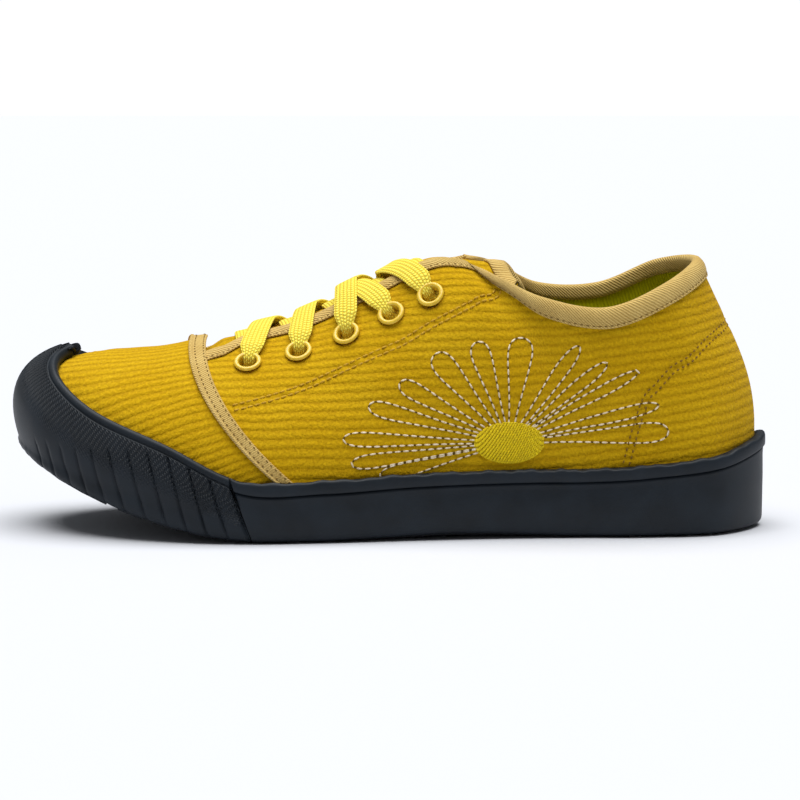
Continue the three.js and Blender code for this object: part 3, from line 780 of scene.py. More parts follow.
@dataclass(frozen=True)
class Rubber:
    """Moulded slate-black rubber: satin, with a faint bloom.

    The toe guard has a lattice of fine diamonds.
    """

    name: str
    dark: str = "#13191F"
    light: str = "#1C242C"
    roughness: float = 0.5
    diamond: float = 0.0
    diamond_from: float = 5.0
    diamond_to: float = 24.0

    def material(self) -> bpy.types.Material:
        """The finish as a material."""
        shader = Shader(self.name)
        place, along, down = shader.cloth()
        bloom = shader.noise(place, 0.07, 4.0)
        grain = shader.noise(place, 2.0, 3.0)
        height = shader.math("MULTIPLY", grain, 0.12)
        if self.diamond:
            rising = shader.wave(shader.math("ADD", along, down), self.diamond)
            falling = shader.wave(shader.math("SUBTRACT", along, down), self.diamond)
            lattice = shader.math("POWER", shader.math("MULTIPLY", rising, falling), 0.5)
            fade = shader.level(down, self.diamond_to, self.diamond_to - 10)
            near = shader.level(down, self.diamond_from, self.diamond_from + 1.0)
            lattice = shader.math("MULTIPLY", lattice, shader.math("MULTIPLY", fade, near))
            height = shader.math("ADD", height, shader.math("MULTIPLY", lattice, 1.8))
        shader.relief(height, 0.35)
        colour = shader.mix(shader.level(bloom, 0.3, 0.7), rgb(self.dark), rgb(self.light))
        rough = shader.math("MULTIPLY_ADD", bloom, 0.2, self.roughness - 0.1)
        return shader.dress(colour, Roughness=rough, Specular_IOR_Level=0.25)


@dataclass(frozen=True)
class Solid:
    """A plain finish with a fine uneven surface, such as enamelled brass or spun thread."""

    name: str
    colour: str
    other: str
    roughness: float
    metallic: float = 0.0
    coat: float = 0.0
    grain: float = 900.0
    depth: float = 0.05

    def material(self) -> bpy.types.Material:
        """The finish as a material."""
        shader = Shader(self.name)
        place = shader.add("TexCoord").outputs["Object"]
        grain = shader.noise(place, self.grain, 3.0)
        shader.relief(grain, self.depth)
        colour = shader.mix(shader.level(grain, 0.35, 0.65), rgb(self.other), rgb(self.colour))
        return shader.dress(colour, Roughness=self.roughness, Metallic=self.metallic, Coat_Weight=self.coat)


@dataclass(frozen=True)
class NodeRubber:
    """The tread's rubber, on the model's own solid: dull, with the fine grit of a steel mould."""

    name: str = "tread rubber"
    dark: str = "#10151A"
    light: str = "#1A2128"

    def material(self) -> bpy.types.Material:
        """The finish as a material."""
        shader = Shader(self.name)
        place = shader.add("TexCoord").outputs["Object"]
        bloom = shader.noise(place, 60.0, 4.0)
        grit = shader.noise(place, 1400.0, 2.0)
        shader.relief(grit, 0.08)
        colour = shader.mix(shader.level(bloom, 0.3, 0.7), rgb(self.dark), rgb(self.light))
        return shader.dress(colour, Roughness=0.7, Specular_IOR_Level=0.35)


@dataclass(frozen=True)
class Weave:
    """A plain-woven cover on the model's own solid, such as an insole's cloth over foam."""

    name: str
    light: str
    dark: str
    pitch: float = 1.2

    def material(self) -> bpy.types.Material:
        """The finish as a material."""
        shader = Shader(self.name)
        place = shader.add("TexCoord").outputs["Object"]
        parts = shader.add("SeparateXYZ", {0: place})
        warp = shader.wave(shader.math("MULTIPLY", parts.outputs[0], 1000.0), self.pitch)
        weft = shader.wave(shader.math("MULTIPLY", parts.outputs[1], 1000.0), self.pitch)
        thread = shader.math("MULTIPLY", warp, weft)
        wear = shader.noise(place, 25.0, 4.0)
        shader.relief(thread, 0.25)
        share = shader.math("MULTIPLY_ADD", wear, 0.8, shader.math("MULTIPLY", thread, 0.4))
        colour = shader.mix(share, rgb(self.dark), rgb(self.light))
        return shader.dress(colour, Roughness=0.95, Sheen_Weight=0.2)


# Every finish of the shoe
FINISHES = {
    "corduroy": Corduroy(),
    "lining": Twill("cotton lining", "#DAD60A", "#B8B400", pitch=1.4, slant=0.0),
    "tape": Twill("cotton tape", "#EACD82", "#AC8842"),
    "lace": Knit(),
    "rubber": Rubber("moulded rubber"),
    "guard": Rubber("moulded rubber with diamonds", diamond=1.9),
    "enamel": Solid("enamelled brass", "#E4C136", "#D6AF24", 0.35, coat=0.15),
    "mustard_thread": Solid("mustard thread", "#D2A71C", "#A87E0C", 0.8, grain=1500, depth=0.1),
    # Painted shade: these stitches are darkened to stand for the shadow in the stitch holes of the tape and
    # the binding.
    "painted_shade_thread": Solid("brown stitches, darkened as painted shade", "#8E6F2C", "#6E531C", 0.85, grain=1500, depth=0.1),
    "cream_thread": Solid("cream thread", "#F0E4CC", "#D2BF98", 0.75, grain=1500, depth=0.1),
    # Painted shade: these stitches are darkened to stand for the shadow in the heel row's stitch holes.
    "painted_shade_heel_stitches": Solid("ochre stitches, darkened as painted shade", "#8A6708", "#6E5006", 0.9, grain=1500, depth=0.1),
    # Painted shade: dark marks for the shadow in the stitch holes between the petals' stitches.
    "painted_hole_shade": Solid("painted shade of stitch holes", "#6B5312", "#54400C", 0.95),
    "satin_thread": Solid("satin thread", "#FFE500", "#E2C600", 0.65, grain=1200, depth=0.05),
    "tread": NodeRubber(),
    "insole": Weave("insole cloth", "#AFAE22", "#85840F"),
}
Finishes = dict[str, bpy.types.Material]


# The rubber


@dataclass(frozen=True)
class Sole:
    """The rubber round the shoe: a plain sidewall with a lip, and a thick ribbed guard over the toe."""

    corner: float = 3.0
    lip_height: float = 4.5
    lip_step: float = 0.7
    lip_groove: float = 0.9
    guard_end: float = 3.86
    rim_band: float = 3.8
    rim_step: float = 0.9
    rib_pitch: float = 7.4
    rib_depth: float = 0.85
    rib_slant: float = 7.5
    rib_count: int = 12
    rib_top: float = 33.5
    rib_fade: float = 3.0
    section_step: float = 27.5
    tooth_pitch: float = 1.6
    tooth_depth: float = 0.35
    behind_rim: int = 7

    def slanted_foot(self, head: Array) -> Array:
        """Where a slanted line's foot stands, for the place of its head."""
        return head + np.sign(head) * smooth(np.abs(head), 0, 0.8) * self.rib_slant / self.section_step

    def on_slant(self, head: Array, foot: Array, height: Array) -> Array:
        """Places round the shoe of points on slanted lines, from their heights."""
        low = LAST.side_foot(head)
        share = np.clip((height - low) / (LAST.rim_height(head) - low), 0, 1)
        return foot + (head - foot) * share

    def rounded_foot(self, head: Array, foot: Array, turn: float, outside: bool) -> Array:
        """Points on the rounded lower edge.

        Args:
            head: Places of the slanted lines' heads.
            foot: Places of their feet.
            turn: How far round the edge, from 0 underneath to 1 on the side.
            outside: Whether the points lie on the outside.

        Returns:
            The points.
        """
        rise = self.corner * (1 - math.cos(turn * math.pi / 2))
        inset = self.corner * (1 - math.sin(turn * math.pi / 2))
        u = self.on_slant(head, foot, LAST.side_foot(head) + rise)
        depth = np.full_like(u, inset) if outside else LAST.rubber(u) - 0.3
        flat = LAST.outline(u, depth)[0]
        return np.concatenate([flat, (LAST.side_foot(u) + rise)[..., None]], -1)

    def inside(self, head: Array, foot: Array, gap: float) -> list[Array]:
        """The rubber's inner face, from its top edge down to its foot."""
        rim = LAST.rim_share(head)
        down = [LAST.skin(head, rim * share, np.full_like(head, gap)) for share in (0.97, 0.6, 0.05)]
        return [*down, self.rounded_foot(head, foot, 0.35, False)]

    def sidewall(self, finishes: Finishes) -> bpy.types.Object:
        """The plain band round the waist and heel.

        Args:
            finishes: The shoe's finishes.

        Returns:
            The piece.
        """
        start = self.guard_end + 0.3 / self.section_step
        share = np.linspace(0, 1, 421)
        head = start + (AROUND - 2 * start) * share
        slant = smooth(np.minimum(head - start, AROUND - start - head), 0, 0.6)
        foot = np.where(head < HEEL, self.slanted_foot(head), AROUND - self.slanted_foot(AROUND - head))
        foot = head * slant + foot * (1 - slant)
        rim_z = LAST.rim_height(head)
        thick = LAST.rubber(head)
        stations = [self.rounded_foot(head, foot, turn, True) for turn in (0, 0.25, 0.5, 0.75, 1)]
        lip = LAST.share_at_height(head, rim_z - self.lip_height)
        low_point, low_share = stations[-1], lip * 0.45
        side = self.on_slant(head, foot, LAST.rib(head, low_share)[..., 2])
        middle = LAST.skin(side, low_share, thick - self.lip_step * 0.5)
        stations += [low_point * (1 - w) + middle * w for w in (0.4, 0.8)]
        levels = [
            (-self.lip_height - 3.2, -self.lip_step),
            (-self.lip_height - 1.2, -self.lip_step),
            (-self.lip_height - 0.4, -self.lip_step),
            (-self.lip_height - 0.2, -self.lip_step - self.lip_groove),
            (-self.lip_height, -self.lip_step - self.lip_groove),
            (-self.lip_height + 0.2, -0.1),
            (-self.lip_height + 0.5, 0.0),
            (-self.lip_height * 0.6, 0.0),
            (-1.0, -0.1),
            (-0.35, -0.35),
            (-0.05, -0.9),
            (0.0, -1.7),
            (-0.1, -2.8),
        ]
        for rise, depth in levels:
            t = LAST.share_at_height(head, rim_z + rise)
            u = self.on_slant(head, foot, LAST.rib(head, t)[..., 2])
            uneven = np.clip(1 + rise, 0, 1) * (0.25 * np.sin(head * 9.0) + 0.2 * np.sin(head * 23.0 + 1.0))
            stations.append(LAST.skin(u, t, thick + depth) + np.stack([0 * u, 0 * u, uneven], -1))
        stations += self.inside(head, foot, 0.3)
        points = ring(np.stack(stations, axis=1))
        return self._piece("rubber_sidewall", points, finishes["rubber"], "sidewall")

    def guard(self, finishes: Finishes) -> bpy.types.Object:
        """The thick strip over the toe, with its slanted ribs, diamonds and smooth rim.

        Args:
            finishes: The shoe's finishes.

        Returns:
            The piece.
        """
        pitch = self.rib_pitch / self.section_step
        first = self.guard_end - self.rib_count * pitch
        within = np.array([0, 0.2, 0.4, 0.6, 0.75, 0.83, 0.88, 0.92, 0.96])
        ribs = np.concatenate([first + (k + within) * pitch for k in range(self.rib_count)])
        saw = np.tile(np.array([0.1, 0.0, 0.02, 0.06, 0.14, 0.3, 1.0, 1.0, 0.5]), self.rib_count)
        tip = np.linspace(0, first, 17)[:-1]
        outer = np.concatenate([tip, ribs, [self.guard_end]])
        cut = np.concatenate([np.zeros_like(tip), saw, [0.0]])
        head = np.concatenate([-outer[:0:-1], outer])
        cut = np.concatenate([cut[:0:-1], cut]) * self.rib_depth
        foot = self.slanted_foot(head)
        rim = LAST.rim_share(head)
        run = lengths(LAST.outline(head)[0])
        tooth = self.tooth_depth * (0.5 + 0.5 * np.cos(2 * math.pi * run / self.tooth_pitch))

        def carved(points: Array, out: Array, serrated: float = 0.0) -> Array:
            fade = 1 - smooth(points[..., 2], self.rib_top - self.rib_fade, self.rib_top)
            depth = cut * fade + tooth * serrated
            return points - out * depth[..., None]

        stations = []
        flat_out = LAST.outline(head)[1]
        out = np.concatenate([flat_out, np.zeros((len(head), 1))], -1)
        for turn in (0, 0.2, 0.4, 0.6, 0.8, 1):
            stations.append(carved(self.rounded_foot(head, foot, turn, True), out, 1 - 0.4 * turn))
        band = LAST.share_below(head, rim, np.full_like(head, self.rim_band))
        low = stations[-1]
        for share in np.linspace(0, 1, 19):
            t = share * band
            u = self.on_slant(head, foot, LAST.rib(head, t)[..., 2])
            surface = LAST.skin(u, t, LAST.rubber(u))
            if share == 0:
                stations.append(carved((low + surface) / 2, out, 0.3))
            stations.append(carved(surface, LAST.normal(u, t)))
        for below, depth in [
            (self.rim_band - 0.2, -0.25),
            (self.rim_band - 0.45, -self.rim_step - 0.35),
            (self.rim_band - 0.9, -self.rim_step - 0.1),
            (self.rim_band - 1.5, -self.rim_step + 0.05),
            (1.4, -self.rim_step),
            (0.7, -self.rim_step - 0.15),
            (0.25, -self.rim_step - 0.6),
            (0.03, -self.rim_step - 1.4),
            (0.0, -self.rim_step - 2.6),
        ]:
            t = LAST.share_below(head, rim, np.full_like(head, below))
            stations.append(LAST.skin(head, t, LAST.rubber(head) + depth))
        stations += self.inside(head, foot, 0.45)
        points = ring(np.stack(stations, axis=1))
        return self._piece("rubber_toe_guard", points, finishes["guard"], "toe_guard")

    def _piece(self, name: str, points: Array, material: bpy.types.Material, node: str) -> bpy.types.Object:
        """Makes a rubber piece from its grid, mapped along the sole and down from its rim."""
        run = lengths(points)
        run = run - run[len(run) // 2]
        down = lengths(points.swapaxes(0, 1)).T
        rim_column = points.shape[1] - self.behind_rim
        fabric = np.stack([run, down[:, rim_column, None] - down], -1)
        bm = lofted(name, points, fabric, caps=True)
        return finished(name, bm, [material], [node])

    def dress_nodes(self, finishes: Finishes) -> None:
        """Gives the model's own outsole and insole their finishes."""
        for node, material in (("outsole", finishes["tread"]), ("insole", finishes["insole"])):
            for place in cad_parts[node].material_slots:
                place.material = material
            LOG.info("%s: finished as it is", node)


# The upper


@dataclass(frozen=True)
class Crease:
    """A soft trough (or ridge, with a depth below 0) in the cloth."""

    knots: tuple[Place, ...]
    width: float
    depth: float
    both: bool = True


CREASES = (
    Crease(((2.55, 0.98), (2.62, 0.80), (2.75, 0.62), (2.95, 0.45)), 5.5, 0.45),
    Crease(((2.95, 0.97), (3.02, 0.80), (3.15, 0.60)), 5.0, 0.35),
    Crease(((7.60, 0.62), (8.10, 0.50), (8.60, 0.30)), 7.0, 0.60),
    Crease(((8.30, 0.80), (8.75, 0.60), (9.10, 0.35)), 7.0, 0.55),
    Crease(((9.70, 0.85), (9.80, 0.62), (9.95, 0.35)), 8.0, 0.50),
    Crease(((5.20, 0.42), (5.60, 0.32), (6.10, 0.26)), 7.0, 0.40),
    Crease(((10.60, 0.80), (10.75, 0.60), (10.80, 0.40)), 7.0, 0.45),
    Crease(((6.60, 0.20), (7.30, 0.30), (7.90, 0.36)), 8.0, -0.35),
)

EYESTAY_ROW = (
    (3.90, 0.422), (4.62, 0.470), (5.29, 0.508), (6.19, 0.517),
    (6.86, 0.540), (7.35, 0.690), (7.79, 0.895),
)
HEEL_ROW = (
    (9.60, 0.115), (9.85, 0.312), (10.16, 0.510), (10.33, 0.568),
    (10.63, 0.655), (10.93, 0.685), (11.34, 0.738), (11.77, 0.755),
    (12.23, 0.755), (12.66, 0.738), (13.07, 0.685), (13.37, 0.655),
    (13.67, 0.568), (13.84, 0.510), (14.15, 0.312), (14.40, 0.115),
)


@dataclass(frozen=True)
class Tape:
    """The tape across the vamp, with a cord along its front edge."""

    top: float = 3.33
    sweep: float = 1.615
    curve: float = 2.75
    width: float = 6.0
    thickness: float = 0.8
    cord: float = 0.75

    def line(self, t: Array) -> Array:
        """Places of the tape's middle at shares of the rib."""
        return self.top + self.sweep * (1 - t) ** self.curve

    def place(self, t: Array, shift: Array) -> Array:
        """Places beside the tape's middle, at a distance across it.

        Args:
            t: Shares of the ribs.
            shift: Distance behind the middle.

        Returns:
            Places round the shoe.
        """
        u = self.line(t)
        step = np.linalg.norm(LAST.rib(u + 0.01, t) - LAST.rib(u - 0.01, t), axis=-1) / 0.02
        return u + shift / step

    def spot(self, side: Array, shift: Array, height: Array) -> Array:
        """Points of the tape.

        Args:
            side: From -1 at the rubber of the outer side to 1 at that of the inner side.
            shift: Distance behind the tape's middle.
            height: Distance above the cloth.

        Returns:
            The points.
        """
        side, shift, height = np.broadcast_arrays(side, shift, height)
        low = halve(np.zeros(side.shape), np.full(side.shape, 0.6), lambda t: self._under(t, side, shift))
        t = low + (1 - low) * (1 - np.abs(side))
        u = self.place(t, shift)
        return LAST.skin(np.where(side <= 0, u, mirrored(u)), t, height)

    def _under(self, t: Array, side: Array, shift: Array) -> Array:
        """Whether places of the tape lie below the rubber's top edge."""
        u = self.place(t, shift)
        own = np.where(side <= 0, u, mirrored(u))
        return LAST.rib(own, t)[..., 2] < LAST.rim_height(own) - 0.6

    def build(self, finishes: Finishes) -> list[bpy.types.Object]:
        """Makes the tape and its stitches.

        Args:
            finishes: The shoe's finishes.

        Returns:
            The pieces.
        """
        half, top = self.width / 2, self.thickness + SKIN_GAP
        section = [(-half + 1.5, top), (-half + 2.2, top + 0.08), (0.0, top + 0.12), (half - 0.6, top + 0.05)]
        section += [(half - 0.15, top - 0.15), (half, top - 0.45), (half - 0.1, SKIN_GAP)]
        section += [(-half + 0.2, SKIN_GAP)]
        turns = np.radians(np.linspace(215, 20, 9))
        middle = (-half + 0.4, top - 0.05 * self.cord)
        section += [(middle[0] + self.cord * math.cos(a), middle[1] + self.cord * math.sin(a)) for a in turns]
        side = np.linspace(-1, 1, 221)[:, None]
        shift, height = (np.array([spot[k] for spot in section])[None, :] for k in (0, 1))
        points = ring(self.spot(side, shift, height))
        run = np.repeat(lengths(points[:, 2])[:, None], points.shape[1], axis=1)
        across = np.repeat(np.append(shift[0], shift[0, 0])[None, :], len(points), axis=0)
        bm = lofted("vamp tape", points, np.stack([run, across], -1), caps=True)
        piece = finished("tape_vamp", bm, [finishes["tape"]], ["vamp_tape"])
        # Painted shade: the stitches are darkened to stand for the shadow in their holes.
        seam = Stitching("stitches_tape", 2.2, 1.0, 0.24, finishes["painted_shade_thread"])
        rows = []
        for shift_mm in (half - 0.9, -half + 2.0):
            line = self.spot(side[:, 0], np.full(len(side), shift_mm), np.full(len(side), top + 0.15))
            lifted = self.spot(side[:, 0], np.full(len(side), shift_mm), np.full(len(side), top + 1.15))
            rows.append(Trace(line, unit(lifted - line)))
        return [piece, seam.build(rows)]


@dataclass(frozen=True)
class Stitching:
    """A row of stitches: short threads that lie end to end on the cloth."""

    name: str
    pitch: float
    stitch: float
    radius: float
    material: bpy.types.Material
    first: float = 0.5

    def build(self, rows: Sequence[Trace]) -> bpy.types.Object:
        """Makes all rows as one joined mesh.

        Args:
            rows: The lines that are sewn.

        Returns:
            The piece.
        """
        bm = bmesh.new()
        for row in rows:
            for point, way, up in zip(*row.spaced(self.pitch, self.first)):
                side = unit(np.cross(up, way))
                turn = Matrix(np.stack([way, side, unit(np.cross(way, side))], -1).tolist()).to_4x4()
                size = Matrix.Diagonal((self.stitch / 2 * MM, self.radius * MM, self.radius * 0.8 * MM, 1))
                place = Matrix.Translation(Vector(point) * MM) @ turn @ size @ POLE_ALONG_X
                bmesh.ops.create_uvsphere(bm, u_segments=6, v_segments=5, radius=1.0, matrix=place)
        bmesh.ops.recalc_face_normals(bm, faces=bm.faces)
        return finished(self.name, bm, [self.material])


POLE_ALONG_X = Matrix.Rotation(math.pi / 2, 4, "Y")


@dataclass(frozen=True)
class Upper:
    """The corduroy upper: one wall with creases, seams and a lining, open at the throat and collar."""

    around: int = 480
    up: int = 58
    hole: float = 3.4
    seam_width: float = 1.3
    seam_depth: float = 0.45
    seam_spacing: float = 2.3
    heel_rise: float = 0.14
    heel_from: float = 45.0
    vamp_fan: float = 0.005
    vamp_middle: float = -80.0
    tape: Tape = Tape()

    def grid(self) -> tuple[Array, Array]:
        """Places round the shoe and shares of the ribs of the wall's grid."""
        u = np.linspace(0, AROUND, self.around + 1)
        t = np.linspace(0, 1, self.up + 1)[None, :] * LAST.edge_share(u)[:, None]
        return np.repeat(u[:, None], self.up + 1, axis=1), t

    def seams(self) -> list[Trace]:
        """The sewn rows of both eyestays and of the heel."""
        rows = []
        for opposite in (False, True):
            row = on_skin(EYESTAY_ROW, 0.0, opposite)
            rows += [row, row.beside(self.seam_spacing)]
        heel = on_skin(HEEL_ROW)
        return [*rows, heel, heel.beside(self.seam_spacing)]

    def sunk(self, points: Array, line: Array, width: float, depth: float) -> Array:
        """How far a trough along a line sinks each point.

        Args:
            points: The points.
            line: Points of the line.
            width: Half the trough's width.
            depth: Its depth.

        Returns:
            The depths at the points.
        """
        flat = points.reshape(-1, 3)
        near = np.full(len(flat), np.inf)
        box_low, box_high = line.min(0) - 3 * width, line.max(0) + 3 * width
        inside = np.all((flat > box_low) & (flat < box_high), axis=1)
        for spot in line:
            near[inside] = np.minimum(near[inside], np.linalg.norm(flat[inside] - spot, axis=1))
        return (depth * np.exp(-((near / width) ** 2))).reshape(points.shape[:-1])

    def cloth_map(self, u: Array, t: Array, points: Array) -> Array:
        """Places on the cloth: along and across the wales.

        The vamp's wales run beside the instep's line, and the quarters' beside the sole, rising at the heel.
        """
        rise = np.linalg.norm(np.diff(points, axis=1), axis=-1)
        from_foot = np.concatenate([np.zeros((len(points), 1)), np.cumsum(rise, axis=1)], axis=1)
        beyond = LAST.rib(u[:, -1:], t[:, -1:] + (1 - t[:, -1:]) * np.linspace(0, 1, 13)[None, :])
        cut_off = np.linalg.norm(np.diff(beyond, axis=1), axis=-1).sum(axis=1, keepdims=True)
        from_top = from_foot[:, -1:] - from_foot + cut_off
        lateral = np.minimum(u, mirrored(u))
        side = np.where(u <= HEEL, 1, -1)
        run = np.repeat(lengths(LAST.outline(u[:, 0])[0])[:, None], u.shape[1], axis=1)
        foot = points[:, :1, 2]
        back = np.clip(points[..., 0] - self.heel_from, 0, None)
        quarter = np.stack([run, foot + from_foot - self.heel_rise * back], -1)
        fan = 1 + self.vamp_fan * (points[..., 0] - self.vamp_middle)
        vamp = np.stack([points[..., 0], side * from_top * fan], -1)
        return np.where((lateral < self.tape.line(t))[..., None], vamp, quarter)

    def build(self, finishes: Finishes) -> list[bpy.types.Object]:
        """Makes the wall and its seams.

        Args:
            finishes: The shoe's finishes.

        Returns:
            The pieces.
        """
        u, t = self.grid()
        surface, out = LAST.rib(u, t), LAST.normal(u, t)
        fabric = self.cloth_map(u, t, surface)
        depth = np.zeros(u.shape)
        for crease in CREASES:
            for opposite in (False, True) if crease.both else (False,):
                line = on_skin(crease.knots, 0.0, opposite).points
                depth += self.sunk(surface, line, crease.width, crease.depth)
        for seam in self.seams():
            depth += self.sunk(surface, seam.points[::3], self.seam_width, self.seam_depth)
        above = np.clip(surface[..., 2] - LAST.rim_height(u), 0, None)
        depth += 0.22 * np.exp(-above / 5.0) * (1 + np.sin(fabric[..., 0] * 0.7)) / 2
        points = surface - out * depth[..., None]
        joined = (LAST.half_throat(u[:, 0]) == 0) & (u[:, 0] > HEEL)
        twin = self.around - np.arange(self.around + 1)
        points[joined, -1] = points[twin[joined], -1]
        points[-1] = points[0]
        bm = lofted("upper", points, fabric, join=0.3)
        self.punch(bm)
        bm.normal_update()
        outward = sum((face.normal.dot(face.calc_center_median() - CENTRE) > 0) for face in bm.faces)
        if outward < len(bm.faces) / 2:
            bmesh.ops.reverse_faces(bm, faces=bm.faces)
        piece = finished("upper_shell", bm, [finishes["corduroy"], finishes["lining"]], ["upper"])
        wall = piece.modifiers.new("wall", "SOLIDIFY")
        wall.thickness, wall.offset = WALL * MM, -1.0
        wall.material_offset = 1
        return [piece, *self.sew(finishes)]

    def punch(self, bm: bmesh.types.BMesh) -> None:
        """Opens the wall under each eyelet."""
        places = np.array([place for near in EYELET_PLACES for place in (near, mirrored(near))])
        centres = [Vector(point) * MM for point in LAST.rib(places, eyelet_share(places))]
        reach = self.hole * MM
        cut = [vert for vert in bm.verts if any((vert.co - centre).length < reach for centre in centres)]
        bmesh.ops.delete(bm, geom=cut, context="VERTS")

    def sew(self, finishes: Finishes) -> list[bpy.types.Object]:
        """Makes the threads of the seams."""
        rows = []
        for opposite in (False, True):
            row = on_skin(EYESTAY_ROW, -0.12, opposite)
            rows += [row, row.beside(self.seam_spacing)]
        eyestay = Stitching("stitches_eyestay", 2.5, 2.2, 0.42, finishes["mustard_thread"])
        heel = on_skin(HEEL_ROW, -0.25)
        # Painted shade: the heel stitches are darkened to stand for the shadow in their holes.
        counter = Stitching("stitches_heel", 2.3, 1.3, 0.34, finishes["painted_shade_heel_stitches"])
        return [eyestay.build(rows), counter.build([heel, heel.beside(self.seam_spacing)])]


CENTRE = Vector((0.0, 0.0, 40.0)) * MM


@dataclass(frozen=True)
class Binding:
    """The tape folded over the upper's edge, along both facings and round the collar."""

    leg: float = 6.0
    inner_leg: float = 4.0
    thickness: float = 0.8
    stitch_below: float = 5.0
    rows: int = 560

    def section(self) -> list[Place]:
        """The folded tape's section: distance past the edge and offset from the cloth."""
        gap, tape = SKIN_GAP, self.thickness
        middle = -WALL / 2
        outside = [(-self.leg, gap + 0.25), (-self.leg + 0.1, gap + tape * 0.9)]
        outside += [(-self.leg + 0.5, gap + tape)]
        outside += [(-self.stitch_below - 0.2, gap + tape - 0.05), (-self.stitch_below, gap + tape - 0.22)]
        outside += [(-self.stitch_below + 0.3, gap + tape), (-3.6, gap + tape + 0.35)]
        outside += [(-2.0, gap + tape + 0.5), (-0.8, gap + tape + 0.35)]
        outer, inner = -middle + gap + tape, -middle + gap
        turns = np.radians(np.linspace(80, -80, 7))
        outside += [(outer * math.cos(a) * 0.9, middle + outer * math.sin(a)) for a in turns]
        outside += [(-2.5, -WALL - gap - tape), (-self.inner_leg, -WALL - gap - tape * 0.9)]
        back = [(-self.inner_leg, -WALL - gap)]
        back += [(inner * math.cos(a) * 0.8, middle + inner * math.sin(a)) for a in turns[::-2]]
        return outside + back

    def spot(self, u: Array, past: Array, offset: Array) -> Array:
        """Points at a distance past the upper's edge.

        Args:
            u: Places round the shoe.
            past: Distance past the edge, below 0 on the cloth.
            offset: Distance outwards.

        Returns:
            The points.
        """
        u, past, offset = np.broadcast_arrays(u, past, offset)
        edge = LAST.edge_share(u)
        t = np.where(past < 0, LAST.share_below(u, edge, np.maximum(-past, 1e-3)), edge)
        along = unit(LAST.rib(u, edge) - LAST.rib(u, edge - 0.01))
        return LAST.skin(u, t, offset) + along * np.maximum(past, 0)[..., None]

    def build(self, finishes: Finishes) -> list[bpy.types.Object]:
        """Makes the binding and its stitches.

        Args:
            finishes: The shoe's finishes.

        Returns:
            The pieces.
        """
        u = np.linspace(BINDING_START, AROUND - BINDING_START, self.rows)
        past, offset = (np.array([spot[k] for spot in self.section()]) for k in (0, 1))
        full = smooth(np.minimum(u, mirrored(u)), BINDING_START, BINDING_START + 0.2)[:, None]
        proud = SKIN_GAP + (offset[None, :] - SKIN_GAP) * (0.2 + 0.8 * full)
        offsets = np.where(offset[None, :] > SKIN_GAP, proud, offset)
        points = ring(self.spot(u[:, None], past[None, :], offsets))
        run = np.repeat(lengths(points[:, 6])[:, None], points.shape[1], axis=1)
        across = np.append(lengths(np.stack([past, offset], -1)), 0)
        fabric = np.stack([run, np.repeat(across[None, :], len(u), axis=0)], -1)
        bm = lofted("binding", points, fabric, caps=True)
        piece = finished("binding_edge", bm, [finishes["tape"]], ["edge_binding"])
        sewn, face = np.full_like(u, -self.stitch_below), SKIN_GAP + self.thickness
        line, above = (self.spot(u, sewn, np.full_like(u, face + lift)) for lift in (-0.05, 1))
        # Painted shade: the stitches are darkened to stand for the shadow in their holes.
        seam = Stitching("stitches_binding", 2.2, 1.0, 0.24, finishes["painted_shade_thread"])
        return [piece, seam.build([Trace(line, unit(above - line))])]


